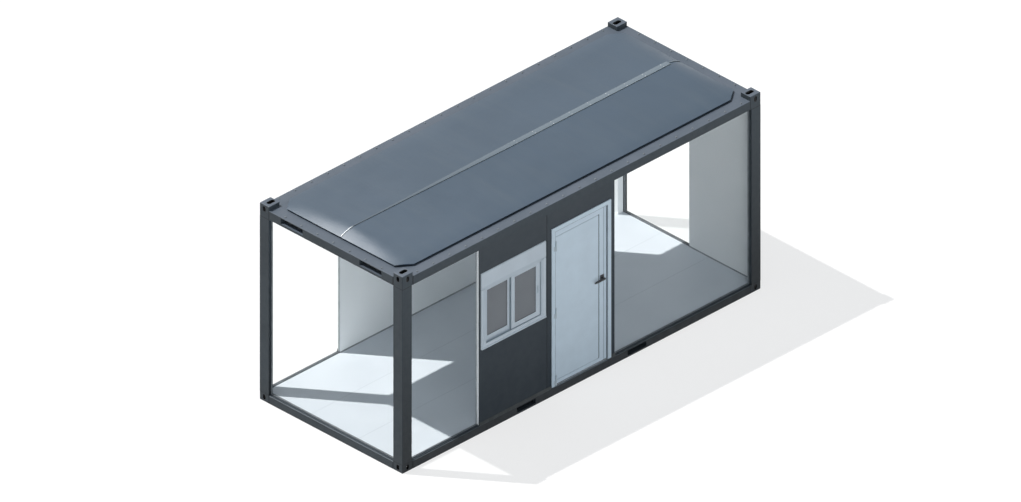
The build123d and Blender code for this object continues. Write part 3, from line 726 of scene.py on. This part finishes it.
def settle(piece, name):
    """Names a new piece and moves its place, turn and size into its mesh."""
    piece.name = name
    piece.data.name = name
    work_on(piece)
    bpy.ops.object.transform_apply(location=True, rotation=True, scale=True)
    return piece


def bar(name, low, high):
    """A square bar between two corners."""
    bpy.ops.object.select_all(action="DESELECT")
    first = place(*low)
    last = place(*high)
    bpy.ops.mesh.primitive_cube_add(size=1, location=(first + last) / 2, scale=last - first)
    return settle(bpy.context.object, name)


def rod(name, start, radius, length, sides=24, axis="Z"):
    """A round bar that starts at a point and runs along an axis."""
    turns = {"X": (0, math.pi / 2, 0), "Y": (-math.pi / 2, 0, 0), "Z": (0, 0, 0)}
    along = Vector([length * MM / 2 if axis == letter else 0 for letter in "XYZ"])
    bpy.ops.object.select_all(action="DESELECT")
    bpy.ops.mesh.primitive_cylinder_add(
        vertices=sides, radius=radius * MM, depth=length * MM,
        location=place(*start) + along, rotation=turns[axis],
    )
    return settle(bpy.context.object, name)


def open_clean(piece, mode):
    """Opens a piece in edit mode with nothing selected, then steps out so that parts can be marked."""
    work_on(piece)
    bpy.context.tool_settings.mesh_select_mode = tuple(mode == kind for kind in ("POINT", "EDGE", "FACE"))
    bpy.ops.object.mode_set(mode="EDIT")
    bpy.ops.mesh.select_all(action="DESELECT")
    bpy.ops.object.mode_set(mode="OBJECT")


def choose_faces(piece, test):
    """Selects the faces whose centre and normal pass a test."""
    open_clean(piece, "FACE")
    for face in piece.data.polygons:
        face.select = test(face.center, face.normal)
    bpy.ops.object.mode_set(mode="EDIT")


def choose_side(piece, direction):
    """Selects the faces that look in a direction."""
    choose_faces(piece, lambda centre, normal: normal.dot(direction) > 0.9)


def choose_points(piece, test):
    """Selects the points whose place passes a test."""
    open_clean(piece, "POINT")
    for point in piece.data.vertices:
        point.select = test(point.co)
    bpy.ops.object.mode_set(mode="EDIT")


def choose_edges(piece, test):
    """Selects the edges whose two ends each pass a test."""
    open_clean(piece, "EDGE")
    points = piece.data.vertices
    for edge in piece.data.edges:
        edge.select = all(test(points[number].co) for number in edge.vertices)
    bpy.ops.object.mode_set(mode="EDIT")


def stop_editing():
    bpy.ops.object.mode_set(mode="OBJECT")


def inset(margin, each=False):
    bpy.ops.mesh.inset(thickness=margin * MM, use_individual=each)


def extrude(direction, length):
    bpy.ops.mesh.extrude_region_move(TRANSFORM_OT_translate={"value": Vector(direction) * length * MM})


def shift(x=0, y=0, z=0):
    bpy.ops.transform.translate(value=(x * MM, y * MM, z * MM))


def chamfer(width, steps):
    bpy.ops.mesh.bevel(offset=width * MM, segments=steps, affect="EDGES")


def sink(piece, direction, margin, depth):
    """Presses a flat recess into the side that looks in a direction."""
    choose_side(piece, direction)
    inset(margin)
    extrude(direction, -depth)
    stop_editing()
    return piece


def crown(piece, direction, margin, rise):
    """Raises the middle of a side on a sloped border, or dishes it by a negative rise."""
    choose_side(piece, direction)
    inset(margin)
    shift(*(Vector(direction) * rise))
    stop_editing()
    return piece


def smooth(piece):
    """Shades a piece smooth between its sharp edges."""
    work_on(piece)
    bpy.ops.object.shade_smooth_by_angle(angle=math.radians(40))
    return piece


def soften(piece, width, steps=2):
    """Rounds every sharp edge by a width."""
    work_on(piece)
    rounding = piece.modifiers.new("rounding", "BEVEL")
    rounding.width = width * MM
    rounding.segments = steps
    rounding.limit_method = "ANGLE"
    rounding.angle_limit = math.radians(35)
    bpy.ops.object.modifier_apply(modifier=rounding.name)
    return smooth(piece)


def repeat(piece, count, step):
    """Copies a piece along a line as one piece, step by step."""
    work_on(piece)
    row = piece.modifiers.new("row", "ARRAY")
    row.count = count
    row.use_relative_offset = False
    row.use_constant_offset = True
    row.constant_offset_displace = [part * MM for part in step]
    bpy.ops.object.modifier_apply(modifier=row.name)
    return piece


def copy_at(piece, move=(0, 0, 0), flip=(1, 1, 1), about=(0, 0, 0)):
    """A copy with its own mesh, moved, or mirrored about a point that is given in metres."""
    work_on(piece)
    bpy.ops.object.duplicate()
    copy = bpy.context.object
    copy.scale = flip
    copy.location = Vector([
        part * MM + middle * (1 - side) for part, side, middle in zip(move, flip, about)
    ])
    bpy.ops.object.transform_apply(location=True, rotation=True, scale=True)
    bpy.ops.object.mode_set(mode="EDIT")
    bpy.ops.mesh.select_all(action="SELECT")
    bpy.ops.mesh.normals_make_consistent(inside=False)
    bpy.ops.object.mode_set(mode="OBJECT")
    return copy


def mirror_back(piece):
    """A copy on the far side of the cabin's middle, from front to rear."""
    return copy_at(piece, flip=(1, -1, 1))


def mirror_leaf(piece):
    """A copy on the other face of the door leaf."""
    return copy_at(piece, flip=(1, -1, 1), about=place(0, LEAF_MIDDLE, 0))


def join(name, parts):
    """Makes one piece of several."""
    bpy.ops.object.select_all(action="DESELECT")
    for part in parts:
        part.select_set(True)
    bpy.context.view_layer.objects.active = parts[0]
    if len(parts) > 1:
        bpy.ops.object.join()
    parts[0].name = name
    parts[0].data.name = name
    return parts[0]


def fit(piece, body, coat):
    """Paints a finished piece and hangs it on its body."""
    piece.data.materials.clear()
    piece.data.materials.append(coat)
    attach(piece, body)
    return piece


def ring(name, low, high, width, axis="Y"):
    """A rectangular frame with a hole right through along an axis."""
    piece = bar(name, low, high)
    number = "XYZ".index(axis)
    choose_faces(piece, lambda centre, normal: abs(normal[number]) > 0.9)
    inset(width, each=True)
    bpy.ops.mesh.bridge_edge_loops()
    stop_editing()
    return piece


def along_wall(name, run, near, far, bottom, top):
    """A bar along a stretch of wall, between two depths behind the frame's face."""
    side, start, end = run
    if side == "front":
        return bar(name, (start, near, bottom), (end, far, top))
    if side == "rear":
        return bar(name, (start, WIDTH - far, bottom), (end, WIDTH - near, top))
    return bar(name, (LENGTH - far, start, bottom), (LENGTH - near, end, top))


def middle_of(piece):
    """The centre of the box round a piece's mesh."""
    points = [point.co for point in piece.data.vertices]
    low = Vector([min(point[number] for point in points) for number in range(3)])
    high = Vector([max(point[number] for point in points) for number in range(3)])
    return (low + high) / 2


# Rims that line the oval slots of the corner castings, painted near black as painted shade in the slots
def oval_rim(length, width, rim_width=4, rim_depth=6, setback=0.2, sides=32):
    """A rim that lies just below a level face and looks up, with a rounded mouth."""
    radius = width / 2
    half = (length - width) / 2
    bpy.ops.object.select_all(action="DESELECT")
    bpy.ops.mesh.primitive_cylinder_add(
        vertices=sides, radius=radius * MM, depth=rim_depth * MM,
        location=(0, 0, -(rim_depth / 2 + setback) * MM), rotation=(0, 0, math.pi / sides),
    )
    rim = settle(bpy.context.object, "slot_rim")
    for side in (1, -1):
        choose_points(rim, lambda point: point.x * side > 0)
        shift(x=side * half)
        stop_editing()
    choose_faces(rim, lambda centre, normal: abs(normal.z) > 0.9)
    inset(rim_width, each=True)
    bpy.ops.mesh.bridge_edge_loops()
    stop_editing()

    def at_mouth(point):
        past_straight = max(abs(point.x) - half * MM, 0)
        return point.z > -MM and math.hypot(past_straight, point.y) < (radius - rim_width / 2) * MM

    choose_edges(rim, at_mouth)
    chamfer(2.4, 2)
    stop_editing()
    return rim


def add_casting_rims():
    quarter = math.pi / 2
    lock_slot, side_slot, side_slot_height = (124, 63.5), (79, 51), 62
    corner = []
    for name, slot, turn, spot in (
        ("lock_rim", lock_slot, (math.pi, 0, 0), (102.5, 89.5, 0)),
        ("side_rim", side_slot, (quarter, quarter, 0), (CASTING_LENGTH / 2, 0, side_slot_height)),
        ("end_rim", side_slot, (0, -quarter, 0), (0, CASTING_WIDTH / 2, side_slot_height)),
    ):
        rim = oval_rim(*slot)
        rim.rotation_euler = turn
        rim.location = place(*spot)
        corner.append(settle(rim, name))
    corner = join("corner_rims", corner)
    flips = [(x, y, z) for z in (1, -1) for y in (1, -1) for x in (1, -1)]
    others = [copy_at(corner, flip=flip, about=(0, 0, MID_HEIGHT)) for flip in flips[1:]]
    fit(smooth(join("casting_slot_rims", [corner, *others])), "cabin", slot_shade_paint)


# Bolts that hold the roof rails' top flanges
def hex_bolt(x, y, z):
    """A bolt head on a washer."""
    washer = soften(rod("bolt_washer", (x, y, z), 14, 2.6, 16), 0.8, 1)
    head = crown(rod("bolt_head", (x, y, z + 2.2), 10.5, 7.4, 6), UP, 1.6, 1.2)
    return join("rail_bolt", [washer, head])


def add_rail_bolts():
    edge = 42
    front = repeat(hex_bolt(289, edge, RAIL_TOP), 21, (274, 0, 0))
    rear = copy_at(front, move=(0, WIDTH - 2 * edge, 0))
    left = repeat(hex_bolt(edge, 399, RAIL_TOP), 7, (0, 273.3, 0))
    right = copy_at(left, move=(LENGTH - 2 * edge, 0, 0))
    fit(join("roof_rail_bolts", [front, rear, left, right]), "cabin", bolt_paint)


# Seals, cover strips and flashings of the walls
def add_panel_seals():
    """Half-round rubber in the joints between the outer skins."""
    joint_x, joint_y = JOINT_LINES[1], 16.4
    seal = rod("panel_joint_seal", (joint_x, joint_y, DECK_TOP + 0.5), 4.6, CEILING - DECK_TOP - 1, 12)
    choose_faces(seal, lambda centre, normal: abs(normal.z) < 0.5 and normal.y < -0.2)
    bpy.ops.transform.resize(value=(1, 0.6, 1), center_override=place(joint_x, joint_y, 1355))
    stop_editing()
    rear = mirror_back(smooth(seal))
    far = copy_at(rear, move=(JOINT_LINES[2] - joint_x, 0, 0))
    fit(join("panel_joint_seals", [seal, rear, far]), "cabin", rubber)


def add_joint_strips():
    """Flat strips that cover the panel joints inside and on the ceiling."""
    half, thickness = 22, 2.5
    inner = FRONT_WALL.rear
    rear = REAR_WALLS[0].front - thickness
    strips = []
    for x, y in ((JOINT_LINES[1], inner), (JOINT_LINES[1], rear), (JOINT_LINES[2], rear)):
        low = (x - half, y, DECK_TOP + 1)
        strips.append(bar("wall_joint_strip", low, (x + half, y + thickness, CEILING - 1)))
    for x in JOINT_LINES:
        low = (x - half, POST_WIDTH, CEILING - 2.4)
        strips.append(bar("ceiling_joint_strip", low, (x + half, WIDTH - POST_WIDTH, CEILING)))
    strips = [soften(strip, 1.0) for strip in strips]
    fit(join("joint_cover_strips", strips), "cabin", lining)


def add_foot_seals():
    """Coved sealant between the inner skins and the flooring."""
    size = 12
    depth = FRONT_WALL.rear
    feet = []
    for run in WALL_RUNS:
        foot = along_wall("wall_foot_seal", run, depth, depth + size, DECK_TOP, DECK_TOP + size)
        middle = middle_of(foot)
        inward = INWARD[run[0]]
        choose_edges(foot, lambda end: (end - middle).dot(inward) > MM and end.z > middle.z)
        chamfer(9, 3)
        stop_editing()
        feet.append(foot)
    fit(smooth(join("wall_foot_seals", feet)), "cabin", grey_sealant)


def add_flashings():
    """Sloped strips that lead rain from the walls' feet over the base rails."""
    strips = []
    for run in WALL_RUNS:
        strip = along_wall("flashing", run, 1, FRONT_WALL.front, DECK_TOP - 8, DECK_TOP + 34)
        middle = middle_of(strip)
        inward = INWARD[run[0]]
        choose_points(strip, lambda point: point.z > middle.z and (point - middle).dot(inward) < 0)
        shift(*(inward * 9.2))
        stop_editing()
        strips.append(soften(strip, 0.8))
    fit(join("wall_base_flashings", strips), "cabin", flashing_paint)


def add_corner_patches():
    """Flooring and ceiling sheet cut round the posts, and round the cover of the rear right one."""
    thickness = 1.6
    near = POST_DEPTH + 1
    along = CASTING_LENGTH + 2
    across = CASTING_WIDTH + 2
    cover_x = COVER.left - 1
    cover_y = COVER.front - 1
    top = DECK_TOP + thickness
    patch = soften(bar("floor_corner", (near, near, DECK_TOP), (along, across, top)), 0.6, 1)
    rear = mirror_back(patch)
    right = copy_at(patch, flip=(-1, 1, 1))
    beside_cover = bar(
        "floor_corner", (LENGTH - along, WIDTH - across, DECK_TOP), (cover_x, WIDTH - near, top),
    )
    before_cover = bar("floor_corner", (cover_x, WIDTH - across, DECK_TOP), (LENGTH - near, cover_y, top))
    patches = join("floor_corner_patches", [patch, rear, right, beside_cover, before_cover])
    fit(patches, "cabin", flooring)

    ceiling = bar("ceiling_corner", (near, near, CEILING - thickness), (along, across, CEILING))
    soften(ceiling, 0.6, 1)
    ceilings = [ceiling, mirror_back(ceiling), copy_at(ceiling, flip=(-1, 1, 1))]
    fit(join("ceiling_corner_patches", ceilings), "cabin", lining)


def add_glass_gaskets():
    """Slim rubber lines on both faces of each sheet, along its channel."""
    thickness, grip, visible = 4.5, 1, 5
    lines = []
    for sheet in GLASS_SHEETS:
        bottom, top = sheet.bottom - grip, sheet.top + grip
        if sheet.right - sheet.left > sheet.rear - sheet.front:
            left, right = sheet.left - grip, sheet.right + grip
            for y in (sheet.front - thickness, sheet.rear):
                lines.append(ring("gasket", (left, y, bottom), (right, y + thickness, top), visible, "Y"))
        else:
            front, rear = sheet.front - grip, sheet.rear + grip
            for x in (sheet.left - thickness, sheet.right):
                lines.append(ring("gasket", (x, front, bottom), (x + thickness, rear, top), visible, "X"))
    fit(join("glass_gaskets", [soften(line, 0.8, 1) for line in lines]), "cabin", grey_sealant)


# Window: beads and gaskets round the panes, seals, shutter guides, sill, bottom bar, pull and catch
def add_pane_trim():
    width, stile, thickness = 11, 45, 16
    bottom, top = PANES.bottom, PANES.top
    panes = (
        (PANES.left, LEFT_SASH.right - stile, PANES.rear - thickness),
        (RIGHT_SASH.left + stile, PANES.right, PANES.front),
    )
    beads = []
    gaskets = []
    for left, right, face in panes:
        back = face + thickness
        bead = ring("bead", (left, face - 5, bottom), (right, face, top), width)
        low = place(left + 8, 0, bottom + 8)
        high = place(right - 8, face - 4.5, top - 8)
        choose_edges(bead, lambda end: end.y < high.y and low.x < end.x < high.x and low.z < end.z < high.z)
        chamfer(3.6, 2)
        stop_editing()
        beads.append(bead)
        beads.append(soften(ring("bead", (left, back, bottom), (right, back + 4, top), width), 1.2))
        for front in (face - 1.5, back):
            low_corner = (left + width, front, bottom + width)
            gaskets.append(ring("gasket", low_corner, (right - width, front + 1.5, top - width), 4))
    fit(smooth(join("pane_beads", beads)), "cabin", window_white)
    fit(join("pane_gaskets", gaskets), "cabin", rubber)


def add_sash_seals():
    """A seal round the sashes, and the strip between them where they meet, both grey so they also read as
    painted shade lines.
    """
    bottom, top, meeting = LEFT_SASH.bottom, LEFT_SASH.top, RIGHT_SASH.left
    seal = ring("sash_seal", (LEFT_SASH.left + 0.2, 9, bottom + 3), (RIGHT_SASH.right - 0.2, 13.6, top), 8)
    interlock = bar("sash_interlock", (meeting - 9.2, 19, bottom + 5), (meeting - 0.2, 36, top - 2))
    fit(join("sash_seals", [soften(seal, 0.8, 1), soften(interlock, 1.0, 1)]), "cabin", seal_and_shade_grey)


def add_shutter_guides_and_sill():
    """The shutter's guides, the sill's sloped nose, its drain caps and the lip under the shutter box."""
    left, right, bottom, top = WINDOW.left, WINDOW.right, WINDOW.bottom, WINDOW.top
    near, far = 38.2, 74.2
    guide = bar("shutter_guide", (left + near, -5, bottom + 18), (left + far, 0, top + 2))
    soften(sink(guide, FORWARD, 12, 4), 0.8)
    other = copy_at(guide, move=(right - left - near - far, 0, 0))

    sill = bar("window_sill_nose", (left + 2.2, -12, bottom), (right - 2.6, 0, bottom + 20))
    middle = middle_of(sill)
    choose_points(sill, lambda point: point.z > middle.z and point.y < middle.y)
    shift(z=-9)
    stop_editing()
    soften(sink(sill, -UP, 3, 4), 0.8)

    cap = soften(bar("drain_cap", (1560, -2.5, bottom + 32), (1596, 0, bottom + 42)), 1.0)
    far_cap = copy_at(cap, move=(604, 0, 0))
    lip = soften(bar("shutter_cover_lip", (left + 8.2, -3, top + 8), (right - 8.6, 0, top + 24)), 1.2)
    parts = [guide, other, sill, cap, far_cap, lip]
    fit(join("window_guides_and_sill", parts), "cabin", window_white)


def add_shutter_bar():
    """The bottom bar of the shutter's curtain, fully up."""
    low = (LEFT_SASH.left + 2.2, 2, WINDOW.top - 22)
    curtain = bar("shutter_bottom_bar", low, (RIGHT_SASH.right - 2.6, 11, WINDOW.top + 4))
    fit(soften(sink(curtain, FORWARD, 6, 2), 0.8), "cabin", hinge_paint)


def add_pull_and_catch():
    """The right sash's pull, and the catch where the sashes meet inside."""
    face, back = RIGHT_SASH.front, RIGHT_SASH.rear
    pull = bar("sash_pull", (2288, face - 8, 1560), (2308, face, 1660))
    soften(sink(pull, FORWARD, 4, 5), 1.2)
    left, right, bottom, top = 1868, 1890, 1600, 1650
    depth, reach = 12, 8
    catch = bar("sash_catch", (left, back, bottom), (right, back + depth, top))
    choose_side(catch, -FORWARD)
    inset(5)
    extrude(-FORWARD, reach)
    tip = place((left + right) / 2, back + depth + reach, (bottom + top) / 2)
    bpy.ops.transform.resize(value=(0.7, 1, 0.6), center_override=tip)
    stop_editing()
    parts = [pull, soften(catch, 1.0)]
    fit(join("sash_pull_and_catch", parts), "cabin", hinge_paint)


# Door: seals, threshold ribs, lock cylinders, screws, hinge caps and the lever
def three_sides(name, outset, rise, bottom, front, back, width):
    """One bent strip up the left side of the door's opening, along its head and down its right side."""
    left = THRESHOLD.left - outset
    right = THRESHOLD.right + outset
    top = DOOR_HEAD + rise
    strip = bar(name, (left, front, bottom), (left + width, back, top))
    choose_faces(strip, lambda centre, normal: True)
    bpy.ops.mesh.bisect(plane_co=place(left, 0, top - width), plane_no=UP)
    stop_editing()
    head = place(0, 0, top - width / 2).z
    choose_faces(strip, lambda centre, normal: normal.x > 0.9 and abs(centre.z - head) < 0.1 * MM)
    for run in (right - left - 2 * width, width):
        extrude((1, 0, 0), run)
    stop_editing()
    far = place(right - width / 2, 0, 0).x
    choose_faces(strip, lambda centre, normal: normal.z < -0.9 and abs(centre.x - far) < 0.1 * MM)
    extrude(UP, bottom + width - top)
    stop_editing()
    return strip


def add_door_seals():
    """The leaf's soft seal, a thin black one in the rebate as painted shade on the reveal, a grey bead
    round the opening as a painted shade line, and two threshold ribs.
    """
    sill = THRESHOLD.top
    fit(soften(three_sides("door_seal", -2.4, -2, sill + 2, 60, 62.8, 12), 1.0, 1), "cabin", rubber)
    # The thin black seal in the rebate also stands in for the shade on the reveal: painted shade.
    fit(three_sides("rebate_shade_seal", -0.2, -0.2, sill + 2, 5, 17, 1.6), "cabin", rubber)
    # The bead is painted darker than the frame as a painted shade line.
    fit(three_sides("frame_bead", 6.6, 6.5, sill - 6, -1.4, 0, 5), "cabin", bead_shade_grey)
    rib = bar("threshold_rib", (THRESHOLD.left + 1.4, 5.5, sill), (THRESHOLD.right - 1.4, 8.5, sill + 2))
    fit(repeat(soften(rib, 0.7), 2, (0, 6.5, 0)), "cabin", zinc)


def add_lock():
    """A lock cylinder on each face of the leaf, the key's slot, and the screws of both rosettes."""
    cylinder = rod("lock_cylinder", (HANDLE_X, 5.5, HANDLE_Z - 28), 8.5, 4.5, 24, "Y")
    soften(sink(cylinder, FORWARD, 2.4, 1), 0.35, 1)
    keyway = bar("keyway", (HANDLE_X - 1, 5.2, HANDLE_Z - 33), (HANDLE_X + 1, 6.6, HANDLE_Z - 24))
    soften(keyway, 0.3, 1)
    fit(join("lock_cylinders", [cylinder, mirror_leaf(cylinder)]), "door", zinc)
    fit(keyway, "door", rubber)

    across, up = 46, 68
    screw = rod("rosette_screw", (HANDLE_X - across / 2, 8.8, HANDLE_Z - up / 2), 3.4, 1.4, 12, "Y")
    crown(screw, FORWARD, 1, -0.6)
    outer = [screw]
    for move in ((across, 0, 0), (0, 0, up), (across, 0, up)):
        outer.append(copy_at(screw, move=move))
    outer = join("rosette_screws", outer)
    fit(join("rosette_screws", [outer, mirror_leaf(outer)]), "door", zinc)


def add_hinge_caps():
    """Domed caps on the hinge pins, and two screws in each hinge leaf."""
    lowest, highest = LEAF.bottom + 64, LEAF.top - 198
    half, cap_length, plate = 60, 4, 4
    on_frame = []
    on_leaf = []
    for height in (lowest, (lowest + highest) / 2, highest):
        for caps, base in ((on_frame, height - half - cap_length), (on_leaf, height + half)):
            caps.append(soften(rod("hinge_cap", (HINGE_X, HINGE_Y, base), 7.2, cap_length, 20), 1.6))
        for caps, x, face, rises in (
            (on_frame, 2568, -plate, (-46, -16)), (on_leaf, 2614, LEAF.front - plate, (16, 46)),
        ):
            for rise in rises:
                screw = rod("hinge_screw", (x, face - 1.2, height + rise), 4, 1.4, 12, "Y")
                caps.append(crown(screw, FORWARD, 1.2, -0.6))
    fit(join("hinge_caps_on_frame", on_frame), "cabin", hinge_paint)
    fit(join("hinge_caps_on_leaf", on_leaf), "door", hinge_paint)


def add_lever():
    """A deep grip that tapers to its tip, on a round neck, on each face of the door."""
    half = 12
    front, back = -36, -12
    grip = bar(
        "lever_grip", (HANDLE_X - 60, front, HANDLE_Z - half), (HANDLE_X + 18, back, HANDLE_Z + half),
    )
    choose_side(grip, (-1, 0, 0))
    for step, depth, tall in ((60, 0.88, 0.9), (34, 0.84, 0.84), (6, 0.7, 0.7)):
        extrude((-1, 0, 0), step)
        middle = place(0, (front + back) / 2, HANDLE_Z)
        bpy.ops.transform.resize(value=(1, depth, tall), center_override=middle)
    stop_editing()
    soften(grip, 4.5, 3)
    neck = crown(rod("lever_neck", (HANDLE_X, -14, HANDLE_Z), 9.5, 24, 24, "Y"), -FORWARD, 1.5, 0.8)
    outer = join("outer_lever", [grip, smooth(neck)])
    spindle = soften(rod("lever_spindle", (HANDLE_X, 8, HANDLE_Z), 5, 60, 4, "Y"), 0.8, 1)
    lever = join("lever_handle", [outer, mirror_leaf(outer), spindle])
    fit(lever, "lever", handle_black)
    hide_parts("door_lever")


# Roof: sealant and rivets of the ridge cap
def add_ridge_trim():
    """Dark sealant along both edges of the widening ridge cap, also as painted shade along the cap's edges,
    and a row of rivets on its wide half.
    """
    start, widest, end = 360, 3003, 5704
    spread, fall = 33, 1.4
    run = bar("cap_sealant", (start, 1209, 2796), (widest, 1213, 2801.8))
    middle = middle_of(run)
    choose_points(run, lambda point: point.x > middle.x)
    shift(y=-spread, z=-fall)
    stop_editing()
    far_run = bar("cap_sealant", (widest, 1209 - spread, 2796 - fall), (end, 1213 - spread, 2801.8 - fall))
    runs = [soften(run, 1.2), soften(far_run, 1.2)]
    runs += [mirror_back(piece) for piece in runs]
    # The dark sealant also serves as painted shade along the cap's edges.
    fit(join("ridge_cap_shade_sealant", runs), "cabin", threshold_paint)

    rivet = crown(rod("ridge_rivet", (3120, 1194, 2806.0), 5, 1.6, 12), UP, 2, 0.3)
    rivets = repeat(rivet, 9, (310, 0, 0))
    fit(join("ridge_cap_rivets", [rivets, mirror_back(rivets)]), "cabin", zinc)


# Cable sockets in the left roof rail, linings of the fork tunnels and joists below the floor
def add_socket_plates():
    """A plate in each cable socket, with two round caps under their hinges, all near black as painted shade
    in the recess.
    """
    cap_height = 2662
    parts = [soften(bar("socket_plate", (62, 364, 2626), (69, 732, 2698)), 1.5)]
    for y in (470, 626):
        cap = rod("socket_cap", (48, y, cap_height), 28, 14, 24, "X")
        choose_side(cap, (-1, 0, 0))
        inset(5)
        extrude((-1, 0, 0), 3)
        bpy.ops.transform.resize(value=(1, 0.9, 0.9), center_override=place(45, y, cap_height))
        stop_editing()
        parts.append(soften(cap, 1.2))
        parts.append(soften(bar("socket_hinge", (44, y - 12, 2686), (62, y + 12, 2694)), 2.0))
    front = join("socket_plates", parts)
    fit(join("cable_socket_plates", [front, mirror_back(front)]), "cabin", socket_shade_grey)


def add_fork_linings():
    """Folded sheet that lines the mouths, floor and sides of each fork tunnel, painted near black as shade
    inside the tunnels.
    """
    half, outer = 160, 168
    front, rear = FLOOR.front, FLOOR.rear
    parts = []
    for centre in (LENGTH / 2 - 935, LENGTH / 2 + 935):
        for face, back in ((0.6, 14), (WIDTH - 14, WIDTH - 0.6)):
            rim = ring("pocket_rim", (centre - half, face, 25), (centre + half, back, 100), 3.5)
            parts.append(soften(rim, 1.0))
        parts.append(bar("tunnel_floor", (centre - outer, front, 20), (centre + outer, rear, 24)))
        for left in (centre - outer, centre + outer - 6):
            parts.append(bar("tunnel_side", (left, front, 24), (left + 6, rear, FLOOR.bottom)))
    fit(join("fork_tunnel_linings", parts), "cabin", pocket_shade_paint)


def add_joists():
    """Folded joists below the underfloor sheet, clear of the fork tunnels."""
    joists = []
    for x in (560, 1060, 1560, 2560, 3029, 3498, 4498, 4998, 5498):
        joist = bar("joist", (x - 30, FLOOR.front, 14), (x + 30, FLOOR.rear, FLOOR.bottom))
        joists.append(soften(sink(joist, -UP, 12, 20), 2.0))
    fit(join("underfloor_joists", joists), "cabin", underside)


paint_nodes()

add_casting_rims()
add_rail_bolts()
add_panel_seals()
add_joint_strips()
add_foot_seals()
add_flashings()
add_corner_patches()
add_glass_gaskets()
add_pane_trim()
add_sash_seals()
add_shutter_guides_and_sill()
add_shutter_bar()
add_pull_and_catch()
add_door_seals()
add_lock()
add_hinge_caps()
add_lever()
add_ridge_trim()
add_socket_plates()
add_fork_linings()
add_joists()

add_camera()
add_lamps()
add_surround()
add_floor()
bpy.context.scene.view_settings.view_transform = "Standard"
